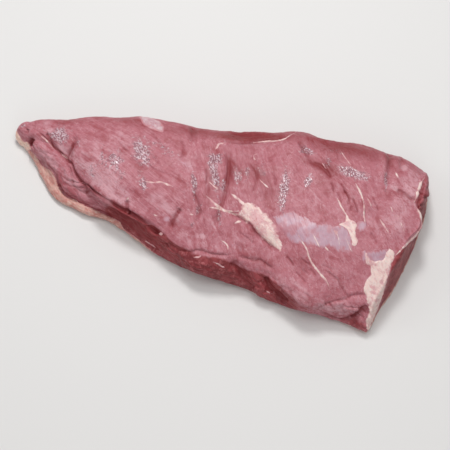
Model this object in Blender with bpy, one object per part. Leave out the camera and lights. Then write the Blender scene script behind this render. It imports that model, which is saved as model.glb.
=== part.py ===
"""Raw beef brisket, trimmed on top and lying on its fat side.

Metres, with +Z up. The rest face is at z = 0 and the origin is at the middle of the
bounding box's base. +X runs from the thin tip to the thick cut end, and +Y points to
the back edge. The photograph looks down on the front edge.

The body is a loft. Guide lines run along the length, one for each corner of the cross
section, and every ring is a smooth closed curve through them. Folds, dents and lumps
are then pushed in along the surface's own direction. Their widths and depths are real
sizes, and their places are read from the photograph.
"""

import math

import bmesh
import bpy
import numpy as np

MM = 0.001

# How the photograph was taken. Places of folds and lumps are pixels of its 450 square frame.
VIEW_AZIMUTH = math.radians(18.5)
VIEW_ELEVATION = math.radians(62.0)
VIEW_DISTANCE = 1.40
VIEW_TARGET = np.array([0.028, -0.036, 0.022])
FRAME_CENTRE = 225.0
PIXELS_PER_RADIAN = 1400.0

# Mesh fineness: body rings, then how often each stretch of the cross section is divided.
BODY_RINGS = 96
TIP_RINGS = 4
END_RINGS = 7
PATH_STEPS = 8
SECTION_STEPS = (1, 2, 2, 2, 3, 4, 4, 4, 4, 2, 4, 4, 2, 1, 3, 3)

# Where the lofted length starts and stops, in mm, and how far each end bulges past it.
TIP_X = -205.0
END_X = 195.0
TIP_BULGE = 11.0
END_BULGE = 4.0
END_SQUARENESS = 6.0
END_RING_CROWDING = 0.7
POLE_BULGE = 0.1

# The cut end's outline in plan, as (y, how far past END_X) in mm, where along the length the
# sections start to follow it, and how far its foot stands out beyond its top edge.
END_OUTLINE = [(-95, -7), (-70, -3), (-45, 4), (-15, 9), (15, 12), (44, 13), (66, 11), (95, 3)]
END_OUTLINE_START_X = 95.0
END_LEAN = 5.0
END_HEIGHT = 40.0

# Guide lines along the length, as (x, value) in mm.
BACK_EDGE_Y = [(-205, 19), (-195, 23), (-180, 27), (-150, 38), (-100, 56), (-50, 59), (0, 66),
               (50, 82), (100, 90), (150, 94), (180, 94), (195, 85)]
FRONT_RIM_Y = [(-205, -4), (-195, -11), (-176, -29), (-155, -49), (-125, -58), (-85, -61),
               (-55, -71), (-25, -82), (15, -88), (66, -89), (120, -95), (155, -92), (195, -95)]
LIP_Y = [(-205, 0), (-188, -5), (-165, -11), (-150, -20), (-135, -34), (-120, -41), (-100, -50),
         (-75, -60), (-50, -66), (-30, -66), (-10, -75), (10, -79), (40, -76), (70, -73),
         (95, -75), (115, -84), (132, -91), (144, -89), (157, -83), (170, -78), (195, -76)]
LIP_Z = [(-205, 13), (-188, 21), (-165, 25), (-135, 27), (-100, 31), (-50, 34), (0, 34),
         (50, 35), (95, 36), (133, 31), (165, 30), (195, 29)]
CROWN_Z = [(-205, 20), (-180, 29), (-140, 38), (-90, 45), (-30, 50), (40, 53), (110, 54),
           (165, 50), (195, 44)]
# How far the meat is hollowed under the lip of the long fold.
RECESS = [(-205, -2), (-180, -4), (-150, -5), (-130, -3), (-110, 2), (-80, 5), (-60, 3), (-40, -2),
          (-15, -6), (30, -8), (80, -8), (115, -7), (140, -5.5), (165, -6), (195, -5)]
# How thick the lip is: a thin fold on the left, a round shoulder along the middle.
LIP_THICKNESS = [(-205, 4), (-150, 3.5), (-90, 5), (-50, 7), (-15, 11), (30, 12), (90, 11), (125, 8.5),
                 (150, 7), (195, 7)]
# How far the middle of the flank stands out from the straight line between lip and rim.
FLANK_SWELL = [(-205, 0), (-180, 2), (-150, 3), (-115, 2), (-80, 1), (-50, 0), (0, 2), (60, 3),
               (110, 1), (140, 0), (165, 0.5), (195, 2)]

# The cross section. Back edge to crown, and crown to lip: shares of the width from the back edge,
# then shares of the height, up to the crown on the back and from the lip to the crown in front.
BACK_SHARES = [(0.0, 0.36), (0.02, 0.62), (0.09, 0.83), (0.25, 0.96), (0.48, 1.0)]
FRONT_SHARES = [(0.74, 0.6), (0.90, 0.35)]
SHOULDER_SWELL = 3.0
FLANK_MIDDLE = 0.42
# The rounded foot all round: how far it goes in, at most and as a share of the base.
FOOT_MOST = 16.0
FOOT_SHARE = 0.2
# The fat rim's height, which thins in step with a crown lower than FULL_CROWN_Z.
RIM_Z = 6.0
FULL_CROWN_Z = 40.0
THINNEST_RIM = 0.4

# Grooves and folds: width and depth in mm, and a path of places in the photograph.
GROOVES = {
    "long fold": (2.2, 2.8, [(36, 139), (43, 142), (51, 145), (59, 151), (67, 160), (71, 163),
                             (74, 171), (79, 180), (89, 187), (100, 196), (112, 204)]),
    "fold over the flank": (3.0, 3.0, [(112, 204), (126, 211), (140, 219), (150, 226), (160, 235)]),
    "flank seam": (2.2, 1.4, [(160, 240), (169, 245), (180, 250), (191, 252), (202, 251),
                              (214, 255), (229, 256)]),
    "second flank seam": (2.2, 1.0, [(238, 256), (249, 259), (259, 260), (266, 265), (273, 269)]),
    "flank valley": (4.5, 4.2, [(231, 262), (239, 271), (247, 280), (254, 289)]),
    "deep flank valley": (3.6, 5.0, [(264, 277), (271, 287), (279, 295), (287, 303)]),
    "corner fold": (2.4, 1.3, [(316, 309), (322, 306), (330, 303), (338, 301), (347, 298),
                               (352, 296), (358, 295), (366, 295)]),
    "corner valley": (4.0, 3.6, [(352, 318), (359, 313), (368, 307)]),
    "tip notch": (2.4, 6.0, [(33, 138), (31, 142), (30, 146)]),
    "tip dimple": (2.5, 1.4, [(28, 129), (27, 133)]),
    "left vee": (3.2, 2.6, [(68, 159), (71, 150), (74, 144), (75, 137)]),
    "left crease": (2.2, 1.6, [(47, 133), (49, 138), (51, 143), (56, 148)]),
    "flap fold": (2.6, 2.0, [(69, 181), (73, 187), (79, 191), (85, 193), (90, 190)]),
    "fat edge groove": (2.6, 1.8, [(37, 157), (45, 168), (54, 176), (59, 187), (65, 196),
                                   (76, 201), (92, 209), (108, 216), (119, 222)]),
    "short crease": (2.0, 1.8, [(127, 201), (127, 207), (127, 212)]),
    "cross groove": (3.4, 2.0, [(228, 147), (228, 160), (229, 171), (227, 183), (222, 200),
                                (218, 214), (214, 231)]),
    "second cross groove": (4.0, 1.8, [(191, 176), (194, 190), (197, 205), (200, 216)]),
    "third cross groove": (3.4, 2.2, [(170, 228), (174, 218), (180, 208)]),
    "right curved crease": (2.6, 1.5, [(300, 141), (306, 150), (310, 158), (315, 164), (324, 169),
                                       (331, 178)]),
    "back crease": (3.4, 2.4, [(193, 124), (194, 132), (191, 140)]),
    "end groove": (4.0, 3.0, [(389, 149), (390, 160), (389, 172), (387, 184)]),
    "second end groove": (2.6, 1.4, [(402, 158), (402, 168)]),
    "end crease": (2.2, 1.8, [(398, 190), (406, 195), (415, 200)]),
    "seam under the fat": (2.6, 2.2, [(228, 212), (242, 219), (252, 229), (264, 240), (276, 250)]),
}

# A groove starts at this share of its depth and reaches all of it after this share of its path.
GROOVE_START = 0.5
GROOVE_RUN_IN = 0.1
# What the photograph doesn't face gets no grooves: from where they start to where they are whole,
# as the cosine of the angle between the skin and the line of sight.
FACING_START = 0.02
FACING_WHOLE = 0.3

# Low ridges and lumps: height and two half widths in mm, the way the long one points in the
# photograph in degrees, and the place.
LUMPS = {
    "ridge by the cross groove": (2.2, 34, 6, -95, (221, 178)),
    "ridge left of it": (2.0, 30, 7, -80, (205, 190)),
    "ridge at the end": (2.6, 16, 5, -88, (386, 164)),
    "fat hump": (1.8, 26, 8, -50, (262, 228)),
    "left shoulder": (3.0, 30, 16, -35, (100, 168)),
    "lower left swell": (2.5, 22, 10, -38, (112, 196)),
    "tip lobe": (2.0, 9, 6, -20, (24, 134)),
    "flap": (2.6, 26, 8, -50, (50, 160)),
    "flap foot": (2.0, 10, 6, -70, (66, 186)),
    "flank bead": (2.6, 12, 5, -35, (150, 232)),
    "flank belly": (3.0, 20, 7, -22, (205, 266)),
    "flank heel": (3.0, 14, 6, -28, (262, 290)),
    "right apron": (3.5, 30, 14, -35, (300, 290)),
    "corner lobe": (2.0, 17, 6, -12, (340, 309)),
    "corner knuckle": (3.2, 7, 6, 0, (361, 323)),
    "right field": (2.0, 46, 26, -20, (350, 235)),
    "hollow at the back": (-4.5, 34, 6, -2, (252, 136)),
    "hollow by the fold": (-1.4, 12, 6, -55, (82, 186)),
    "hollow in the middle": (-1.8, 22, 10, -60, (186, 200)),
}

# The whole skin is a little uneven: heights in mm and wavelengths in mm, drawn once from a seed.
# It starts from nothing on the flat base, and is whole above this height.
UNEVEN = ((0.9, 62.0), (0.6, 34.0), (0.35, 19.0))
UNEVEN_FROM_Z = 14.0
WAVES_EACH = 7
SEED = 11

MEAT_COLOUR = (0.44, 0.13, 0.14, 1.0)


def smooth_line(knots, x):
    """A cubic through the knots (x, value), with the slope at each knot from its neighbours."""
    kx, ky = np.array(knots, float).T
    slope = np.gradient(ky, kx)
    x = np.clip(x, kx[0], kx[-1])
    i = np.clip(np.searchsorted(kx, x) - 1, 0, len(kx) - 2)
    width = kx[i + 1] - kx[i]
    t = (x - kx[i]) / width
    start = (1 + 2 * t) * (1 - t) ** 2 * ky[i] + t * (1 - t) ** 2 * width * slope[i]
    stop = t * t * (3 - 2 * t) * ky[i + 1] + t * t * (t - 1) * width * slope[i + 1]
    return start + stop


def smooth_step(low, high, x):
    t = np.clip((x - low) / (high - low), 0.0, 1.0)
    return t * t * (3 - 2 * t)


def section_corners(x):
    """The cross section's corners at each x, from the back foot over the top to the front foot."""
    back, rim = smooth_line(BACK_EDGE_Y, x), smooth_line(FRONT_RIM_Y, x)
    lip, lip_z = smooth_line(LIP_Y, x), smooth_line(LIP_Z, x)
    crown, recess = smooth_line(CROWN_Z, x), smooth_line(RECESS, x)
    width, ground = back - lip, np.zeros_like(x)
    foot = np.minimum(FOOT_MOST, FOOT_SHARE * (back - rim))
    rim_z = RIM_Z * np.clip(crown / FULL_CROWN_Z, THINNEST_RIM, 1)
    (shoulder, shoulder_z), (brow, brow_z) = FRONT_SHARES
    corners = [(back - foot, ground), (back - 0.25 * foot, 0.1 * crown)]
    corners += [(back - across * width, up * crown) for across, up in BACK_SHARES]
    corners += [
        (back - shoulder * width, lip_z + shoulder_z * (crown - lip_z) + SHOULDER_SWELL),
        (back - brow * width, lip_z + brow_z * (crown - lip_z)),
        (lip, lip_z),
        (lip + recess, lip_z - smooth_line(LIP_THICKNESS, x) - 0.5 * recess),
        (0.5 * (lip + recess + rim) - smooth_line(FLANK_SWELL, x), FLANK_MIDDLE * lip_z),
        (rim, rim_z),
        (rim + 0.2 * foot, 0.15 * rim_z),
        (rim + foot, ground),
        (0.5 * (back + rim), ground),
    ]
    return np.array(corners).transpose(2, 0, 1)


def closed_curve(corners, steps):
    """Each ring of corners as a smooth closed curve. At a corner it runs as the chord between
    that corner's neighbours does, as hard as the shorter side asks, so it never loops."""
    ahead = np.roll(corners, -1, axis=1)
    behind = np.roll(corners, 1, axis=1)
    along = ahead - behind
    along /= np.maximum(np.linalg.norm(along, axis=2, keepdims=True), 1e-9)
    side = np.linalg.norm(ahead - corners, axis=2, keepdims=True)
    points = []
    for i, count in enumerate(steps):
        j = (i + 1) % len(steps)
        for t in np.arange(count) / count:
            points.append(
                (1 + 2 * t) * (1 - t) ** 2 * corners[:, i]
                + t * (1 - t) ** 2 * side[:, i] * along[:, i]
                + t * t * (3 - 2 * t) * corners[:, j]
                + t * t * (t - 1) * side[:, i] * along[:, j]
            )
    return np.stack(points, axis=1)


def lofted_body():
    """The smooth body in mm, as rings along the length with points round each, and each ring's
    size beside a whole one, which falls towards nothing at the two ends."""
    tip = [(TIP_X, math.cos(a), -TIP_BULGE * math.sin(a))
           for a in np.linspace(math.pi / 2, 0, TIP_RINGS + 1)[1:-1]]
    body = [(x, 1.0, 0.0) for x in np.linspace(TIP_X, END_X, BODY_RINGS)]
    shrink = np.linspace(1, 0, END_RINGS + 1)[1:-1] ** END_RING_CROWDING
    end = [(END_X, s, END_BULGE * (1 - s**END_SQUARENESS) ** (1 / END_SQUARENESS)) for s in shrink]
    x, scale, out = np.array(tip + body + end).T
    rings = closed_curve(section_corners(x), SECTION_STEPS)
    middle = 0.5 * (rings.max(axis=1, keepdims=True) + rings.min(axis=1, keepdims=True))
    rings = middle + (rings - middle) * scale[:, None, None]
    y, z = rings[..., 0], rings[..., 1]
    near_end = smooth_step(END_OUTLINE_START_X, END_X, x)[:, None]
    bow = smooth_line(END_OUTLINE, y)
    lean = END_LEAN * (0.5 - z / END_HEIGHT)
    along = (x + out)[:, None] + near_end * bow + near_end**3 * lean
    return np.stack([along, y, z], axis=2), scale


def seen_at(points):
    """Where points in mm lie in the photograph, and the direction that faces it."""
    ca, sa = math.cos(VIEW_AZIMUTH), math.sin(VIEW_AZIMUTH)
    ce, se = math.cos(VIEW_ELEVATION), math.sin(VIEW_ELEVATION)
    back = np.array([sa * ce, -ca * ce, se])
    right = np.array([ca, sa, 0.0])
    up = np.cross(back, right)
    rel = points * MM - (VIEW_TARGET + back * VIEW_DISTANCE)
    depth = -(rel @ back)
    px = FRAME_CENTRE + PIXELS_PER_RADIAN * (rel @ right) / depth
    py = FRAME_CENTRE - PIXELS_PER_RADIAN * (rel @ up) / depth
    return px, py, back


def path_distance(px, py, path):
    """The distance in pixels from each place to a smooth path, and how far along it, 0 to 1."""
    knots = np.array(path, float)
    s = np.arange(len(knots), dtype=float)
    fine = np.linspace(0, s[-1], PATH_STEPS * len(knots))
    if len(knots) > 2:
        line = np.stack([smooth_line(np.stack([s, knots[:, k]], 1), fine) for k in (0, 1)], 1)
    else:
        line = np.stack([np.interp(fine, s, knots[:, k]) for k in (0, 1)], 1)
    best = np.full(px.shape, np.inf)
    share = np.zeros(px.shape)
    for i in range(len(line) - 1):
        a, d = line[i], line[i + 1] - line[i]
        t = np.clip(((px - a[0]) * d[0] + (py - a[1]) * d[1]) / (d @ d), 0, 1)
        dist = np.hypot(px - a[0] - t * d[0], py - a[1] - t * d[1])
        nearer = dist < best
        best = np.where(nearer, dist, best)
        share = np.where(nearer, (i + t) / (len(line) - 1), share)
    return best, share


def unevenness(points):
    """A sum of long plane waves in random directions, the same every run."""
    draw = np.random.default_rng(SEED)
    total = np.zeros(points.shape[:-1])
    for height, length in UNEVEN:
        for _ in range(WAVES_EACH):
            way = draw.normal(size=3)
            way /= np.linalg.norm(way)
            phase = draw.uniform(0, 2 * math.pi)
            total += height / math.sqrt(WAVES_EACH) * np.sin(points @ way * 2 * math.pi / length + phase)
    return total


def outward(grid):
    """The unit normals of a closed grid whose rings run along the first axis."""
    along = np.gradient(grid, axis=0)
    around = np.roll(grid, -1, axis=1) - np.roll(grid, 1, axis=1)
    normal = np.cross(around, along)
    return normal / np.maximum(np.linalg.norm(normal, axis=2, keepdims=True), 1e-9)


def relief(grid, normal, scale):
    """How far each point is pushed outwards, in mm. It dies away towards the two poles."""
    px, py, back = seen_at(grid)
    facing = smooth_step(FACING_START, FACING_WHOLE, normal @ back)
    push = np.zeros(px.shape)
    for width, depth, path in GROOVES.values():
        dist, share = path_distance(px, py, path)
        taper = smooth_step(-GROOVE_START * GROOVE_RUN_IN, GROOVE_RUN_IN, np.minimum(share, 1 - share))
        push -= depth * taper * np.exp(-((dist / width) ** 2))
    for height, long_half, short_half, turn, (cx, cy) in LUMPS.values():
        c, s = math.cos(math.radians(turn)), math.sin(math.radians(turn))
        a = ((px - cx) * c - (py - cy) * s) / long_half
        b = ((px - cx) * s + (py - cy) * c) / short_half
        push += height * np.exp(-(a * a) - b * b)
    push = push * facing + unevenness(grid) * smooth_step(0, UNEVEN_FROM_Z, grid[..., 2])
    return push * smooth_step(0, 1, scale)[:, None]


def solid_from(grid, name):
    """Closes the grid of rings with a fan at each end and makes it an object, in metres."""
    rings, count = grid.shape[:2]
    mesh = bmesh.new()
    verts = [[mesh.verts.new(p) for p in ring] for ring in grid * MM]
    for i in range(rings - 1):
        for j in range(count):
            k = (j + 1) % count
            mesh.faces.new((verts[i][j], verts[i][k], verts[i + 1][k], verts[i + 1][j]))
    for ring, way in ((verts[0], -1), (verts[-1], 1)):
        centre = np.mean([v.co for v in ring], axis=0)
        pole = mesh.verts.new(centre + np.array([way * POLE_BULGE * MM, 0, 0]))
        for j in range(count):
            mesh.faces.new((ring[j], ring[(j + 1) % count], pole))
    bmesh.ops.recalc_face_normals(mesh, faces=mesh.faces)
    data = bpy.data.meshes.new(name)
    mesh.to_mesh(data)
    mesh.free()
    data.shade_smooth()
    obj = bpy.data.objects.new(name, data)
    bpy.context.scene.collection.objects.link(obj)
    return obj


def meat_material():
    material = bpy.data.materials.new("lean_meat")
    material.use_nodes = True
    shader = material.node_tree.nodes["Principled BSDF"]
    shader.inputs["Base Color"].default_value = MEAT_COLOUR
    shader.inputs["Roughness"].default_value = 0.42
    shader.inputs["Metallic"].default_value = 0.0
    return material


def main():
    for obj in list(bpy.data.objects):
        bpy.data.objects.remove(obj)
    grid, scale = lofted_body()
    normal = outward(grid)
    grid = grid + normal * relief(grid, normal, scale)[..., None]
    grid[..., 2] = np.maximum(grid[..., 2], 0.0)
    brisket = solid_from(grid, "brisket")
    brisket.data.materials.append(meat_material())


main()
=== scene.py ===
# Raw beef brisket, lean side up on its fat side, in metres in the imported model's frame.
# Every piece is the same skin worked out finer: the lean, the fat cap under it, the fat patches,
# the marbling and the silverskin. Shapes are in mm, and places on the skin are pixels of the
# 450 square photograph, carried onto the skin by the camera that took it.
import itertools
import math

import bpy
import numpy as np
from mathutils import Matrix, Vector


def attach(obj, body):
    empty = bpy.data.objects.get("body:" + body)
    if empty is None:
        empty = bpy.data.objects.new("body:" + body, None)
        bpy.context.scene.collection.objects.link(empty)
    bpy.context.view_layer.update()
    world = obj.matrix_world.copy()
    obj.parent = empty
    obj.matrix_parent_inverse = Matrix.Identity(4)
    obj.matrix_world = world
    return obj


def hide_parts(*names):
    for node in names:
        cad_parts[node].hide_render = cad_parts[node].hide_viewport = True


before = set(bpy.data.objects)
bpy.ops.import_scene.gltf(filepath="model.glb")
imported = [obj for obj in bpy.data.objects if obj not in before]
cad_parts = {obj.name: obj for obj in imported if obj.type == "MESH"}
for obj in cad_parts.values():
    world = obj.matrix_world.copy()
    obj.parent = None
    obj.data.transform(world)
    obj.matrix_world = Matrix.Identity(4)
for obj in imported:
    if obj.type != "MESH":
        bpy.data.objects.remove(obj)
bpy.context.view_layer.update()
mm = 0.001

photo = {
    "azimuth": math.radians(18.5),
    "elevation": math.radians(62.0),
    "distance": 1.40,
    "target": (0.028, -0.036, 0.022),
    "centre": 225.0,
    "pixelsPerRadian": 1400.0,
    "sensorWidth": 36.0,
}

# Guide lines of the loft along the length, as (x, value), with the ends' bulges.
form = {
    "tipX": -205.0,
    "endX": 195.0,
    "tipBulge": 11.0,
    "endBulge": 4.0,
    "endSquareness": 6.0,
    "endRun": 60.0,
    "endRingCrowding": 0.7,
    "endStepPower": 2.2,
    "endOutline": [(-95, -7), (-70, -3), (-45, 4), (-15, 9), (15, 12), (44, 13), (66, 11), (95, 3)],
    "endOutlineStartX": 95.0,
    "endLean": 5.0,
    "endHeight": 40.0,
    "endShelf": (7.0, 13.0, 14.0, 18.0, 38.0),  # jut, middle y, half width, and the z it rises between
    "backEdgeY": [(-205, 19), (-195, 23), (-180, 27), (-150, 38), (-100, 56), (-50, 59), (0, 66), (50, 82),
        (100, 90), (150, 94), (180, 94), (195, 85)],
    "frontRimY": [(-205, -4), (-195, -11), (-176, -29), (-155, -49), (-125, -58), (-85, -61), (-55, -71),
        (-25, -82), (15, -88), (66, -89), (120, -95), (155, -92), (195, -95)],
    "lipY": [(-205, 0), (-188, -5), (-165, -11), (-150, -20), (-135, -34), (-120, -41), (-100, -50),
        (-75, -60), (-50, -66), (-30, -66), (-10, -75), (10, -79), (40, -76), (70, -73), (95, -75),
        (115, -84), (132, -91), (144, -89), (157, -83), (170, -78), (195, -76)],
    "lipZ": [(-205, 13), (-188, 21), (-165, 25), (-135, 27), (-100, 31), (-50, 34), (0, 34), (50, 35),
        (95, 36), (133, 31), (165, 30), (195, 29)],
    "crownZ": [(-205, 20), (-180, 29), (-140, 38), (-90, 45), (-30, 50), (40, 53), (110, 54), (165, 50),
        (195, 44)],
    "recess": [(-205, -2), (-180, -4), (-150, -5), (-130, -3), (-110, 2), (-80, 5), (-60, 3), (-40, -2),
        (-15, -6), (30, -8), (80, -8), (115, -7), (140, -5.5), (165, -6), (195, -5)],
    "lipThickness": [(-205, 4), (-150, 3.5), (-90, 5), (-50, 7), (-15, 11), (30, 12), (90, 11), (125, 8.5),
        (150, 7), (195, 7)],
    "flankSwell": [(-205, 0), (-180, 2), (-150, 3), (-115, 2), (-80, 1), (-50, 0), (0, 2), (60, 3), (110, 1),
        (140, 0), (165, 0.5), (195, 2)],
    "backShares": [(0.0, 0.36), (0.02, 0.62), (0.09, 0.83), (0.25, 0.96), (0.48, 1.0)],
    "frontShares": [(0.74, 0.6), (0.9, 0.35)],
    "shoulderSwell": 3.0,
    "flankMiddle": 0.42,
    "footMost": 16.0,
    "footShare": 0.2,
    "rimZ": 6.0,
    "fullCrownZ": 40.0,
    "thinnestRim": 0.4,
    "corners": 16,
}

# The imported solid's own folds: width and depth in mm, and a path of places.
folds = {
    "longFold": (1.8, 1.3, [(36, 139), (43, 142), (51, 145), (59, 151), (67, 160), (71, 163), (74, 171),
        (79, 180), (89, 187), (100, 196), (112, 204)]),
    "foldOverFlank": (3.0, 3.0, [(112, 204), (126, 211), (140, 219), (150, 226), (160, 235)]),
    "flankSeam": (2.2, 1.4, [(160, 240), (169, 245), (180, 250), (191, 252), (202, 251), (214, 255),
        (229, 256)]),
    "secondFlankSeam": (2.2, 1.0, [(238, 256), (249, 259), (259, 260), (266, 265), (273, 269)]),
    "flankValley": (4.5, 4.2, [(231, 262), (239, 271), (247, 280), (254, 289)]),
    "deepFlankValley": (3.6, 5.0, [(264, 277), (271, 287), (279, 295), (287, 303)]),
    "cornerFold": (2.4, 1.3, [(316, 309), (322, 306), (330, 303), (338, 301), (347, 298), (352, 296),
        (358, 295), (366, 295)]),
    "cornerValley": (4.0, 3.6, [(352, 318), (359, 313), (368, 307)]),
    "tipNotch": (2.4, 6.0, [(33, 138), (31, 142), (30, 146)]),
    "tipDimple": (2.5, 1.4, [(28, 129), (27, 133)]),
    "leftVee": (3.2, 2.6, [(68, 159), (71, 150), (74, 144), (75, 137)]),
    "leftCrease": (2.2, 1.6, [(47, 133), (49, 138), (51, 143), (56, 148)]),
    "flapFold": (2.6, 1.2, [(69, 181), (73, 187), (79, 191), (85, 193), (90, 190)]),
    "fatEdgeGroove": (2.6, 1.8, [(37, 157), (45, 168), (54, 176), (59, 187), (65, 196), (76, 201), (92, 209),
        (108, 216), (119, 222)]),
    "shortCrease": (2.0, 1.8, [(127, 201), (127, 207), (127, 212)]),
    "crossGroove": (3.4, 2.0, [(228, 147), (228, 160), (229, 171), (227, 183), (222, 200), (218, 214),
        (214, 231)]),
    "secondCrossGroove": (4.0, 1.8, [(191, 176), (194, 190), (197, 205), (200, 216)]),
    "thirdCrossGroove": (3.4, 2.2, [(170, 228), (174, 218), (180, 208)]),
    "rightCurvedCrease": (2.6, 1.5, [(300, 141), (306, 150), (310, 158), (315, 164), (324, 169),
        (331, 178)]),
    "backCrease": (3.4, 2.4, [(193, 124), (194, 132), (191, 140)]),
    "endGroove": (4.0, 3.0, [(389, 149), (390, 160), (389, 172), (387, 184)]),
    "secondEndGroove": (2.6, 1.4, [(402, 158), (402, 168)]),
    "endCrease": (2.2, 1.8, [(398, 190), (406, 195), (415, 200)]),
    "seamUnderFat": (2.6, 2.2, [(228, 212), (242, 219), (252, 229), (264, 240), (276, 250)]),
}
foldFade = {"startShare": 0.5, "runIn": 0.1, "facing": (0.02, 0.3), "reach": 3.2}

# Its lumps: height and two half widths in mm, the long one's turn in degrees, and the place.
lumps = {
    "ridgeByCrossGroove": (2.2, 34, 6, -95, (221, 178)),
    "ridgeLeftOfIt": (2.0, 30, 7, -80, (205, 190)),
    "ridgeAtEnd": (2.6, 16, 5, -88, (386, 164)),
    "fatHump": (1.8, 26, 8, -50, (262, 228)),
    "leftShoulder": (3.0, 30, 16, -35, (100, 168)),
    "lowerLeftSwell": (2.5, 22, 10, -38, (112, 196)),
    "tipLobe": (2.0, 9, 6, -20, (24, 134)),
    "flap": (2.6, 26, 8, -50, (50, 160)),
    "flapFoot": (2.0, 10, 6, -70, (66, 186)),
    "flankBead": (2.6, 12, 5, -35, (150, 232)),
    "flankBelly": (3.0, 20, 7, -22, (205, 266)),
    "flankHeel": (3.0, 14, 6, -28, (262, 290)),
    "rightApron": (3.5, 30, 14, -35, (300, 290)),
    "cornerLobe": (2.0, 17, 6, -12, (340, 309)),
    "cornerKnuckle": (3.2, 7, 6, 0, (361, 323)),
    "rightField": (2.0, 46, 26, -20, (350, 235)),
    "hollowAtBack": (-4.5, 34, 6, -2, (252, 136)),
    "hollowByFold": (-1.4, 12, 6, -55, (82, 186)),
    "hollowInMiddle": (-1.8, 22, 10, -60, (186, 200)),
}
swells = {"waves": ((0.9, 62.0), (0.6, 34.0), (0.35, 19.0)), "each": 7, "seed": 11, "fromZ": 14.0}


def smoothLine(knots, x):
    # A cubic between knots (x, value), whose slope at each knot comes from its neighbours.
    kx, ky = np.array(knots, float).T
    slope = np.gradient(ky, kx)
    x = np.clip(x, kx[0], kx[-1])
    i = np.clip(np.searchsorted(kx, x) - 1, 0, len(kx) - 2)
    width = kx[i + 1] - kx[i]
    t = (x - kx[i]) / width
    start = (1 + 2 * t) * (1 - t) ** 2 * ky[i] + t * (1 - t) ** 2 * width * slope[i]
    stop = t * t * (3 - 2 * t) * ky[i + 1] + t * t * (t - 1) * width * slope[i + 1]
    return start + stop


def smoothStep(low, high, x):
    # 0 below low, 1 above high and an S curve between them.
    t = np.clip((x - low) / (high - low), 0.0, 1.0)
    return t * t * (3 - 2 * t)


def sectionCorners(x):
    # The cross section's corners at each x, from the back foot over the top to the front foot.
    back, rim = smoothLine(form["backEdgeY"], x), smoothLine(form["frontRimY"], x)
    lip, lipZ = smoothLine(form["lipY"], x), smoothLine(form["lipZ"], x)
    crown, recess = smoothLine(form["crownZ"], x), smoothLine(form["recess"], x)
    width, ground = back - lip, np.zeros_like(x)
    foot = np.minimum(form["footMost"], form["footShare"] * (back - rim))
    rimZ = form["rimZ"] * np.clip(crown / form["fullCrownZ"], form["thinnestRim"], 1)
    (shoulder, shoulderZ), (brow, browZ) = form["frontShares"]
    corners = [(back - foot, ground), (back - 0.25 * foot, 0.1 * crown)]
    corners += [(back - across * width, up * crown) for across, up in form["backShares"]]
    corners += [
        (back - shoulder * width, lipZ + shoulderZ * (crown - lipZ) + form["shoulderSwell"]),
        (back - brow * width, lipZ + browZ * (crown - lipZ)),
        (lip, lipZ),
        (lip + recess, lipZ - smoothLine(form["lipThickness"], x) - 0.5 * recess),
        (0.5 * (lip + recess + rim) - smoothLine(form["flankSwell"], x), form["flankMiddle"] * lipZ),
        (rim, rimZ),
        (rim + 0.2 * foot, 0.15 * rimZ),
        (rim + foot, ground),
        (0.5 * (back + rim), ground),
    ]
    return np.array(corners).transpose(2, 0, 1)


def ringPoints(corners, v):
    # Each ring as a smooth closed curve through its corners, at v corners along. It leaves a corner
    # the way its neighbours' chord points, as hard as the next side is long, so it never loops.
    along = np.roll(corners, -1, axis=1) - np.roll(corners, 1, axis=1)
    along /= np.maximum(np.linalg.norm(along, axis=2, keepdims=True), 1e-9)
    side = np.linalg.norm(np.roll(corners, -1, axis=1) - corners, axis=2, keepdims=True)
    i = np.floor(v).astype(int) % form["corners"]
    j = (i + 1) % form["corners"]
    t = (v - np.floor(v))[None, :, None]
    return (
        (1 + 2 * t) * (1 - t) ** 2 * corners[:, i]
        + t * (1 - t) ** 2 * side[:, i] * along[:, i]
        + t * t * (3 - 2 * t) * corners[:, j]
        + t * t * (t - 1) * side[:, i] * along[:, j]
    )


def loft(t, v):
    # Points in mm for every t along the length and v round the section, and each ring's size.
    # Before tipX and after endX the rings shrink, as a round tip and as a square cut face.
    tipAngle = np.clip((form["tipX"] - t) / form["tipBulge"], 0, math.pi / 2)
    endShare = np.clip((t - form["endX"]) / form["endRun"], 0, 1)
    scale = np.cos(tipAngle) * (1 - endShare) ** form["endRingCrowding"]
    square = form["endSquareness"]
    out = -form["tipBulge"] * np.sin(tipAngle)
    out = out + np.where(endShare > 0, form["endBulge"] * (1 - scale**square) ** (1 / square), 0)
    x = np.clip(t, form["tipX"], form["endX"])
    corners = sectionCorners(x)
    middle = 0.5 * (corners.max(axis=1, keepdims=True) + corners.min(axis=1, keepdims=True))
    rings = middle + (ringPoints(corners, v) - middle) * scale[:, None, None]
    y, z = rings[..., 0], rings[..., 1]
    nearEnd = smoothStep(form["endOutlineStartX"], form["endX"], x)[:, None]
    bow = smoothLine(form["endOutline"], y)
    lean = form["endLean"] * (0.5 - z / form["endHeight"])
    # The top edge juts past the face below it, right of the torn corner: a bump across y, above a
    # height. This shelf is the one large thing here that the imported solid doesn't have.
    jut, middleY, wide, lowZ, highZ = form["endShelf"]
    shelf = jut * np.exp(-(((y - middleY) / wide) ** 2)) * smoothStep(lowZ, highZ, z)
    along = (x + out)[:, None] + nearEnd * bow + nearEnd**3 * (lean + shelf)
    return np.stack([along, y, z], axis=2), scale


def outward(grid, closed):
    # Unit normals of a grid whose rings run along the first axis.
    along = np.gradient(grid, axis=0)
    if closed:
        around = np.roll(grid, -1, axis=1) - np.roll(grid, 1, axis=1)
    else:
        around = np.gradient(grid, axis=1)
    normal = np.cross(around, along)
    return normal / np.maximum(np.linalg.norm(normal, axis=2, keepdims=True), 1e-9)


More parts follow.
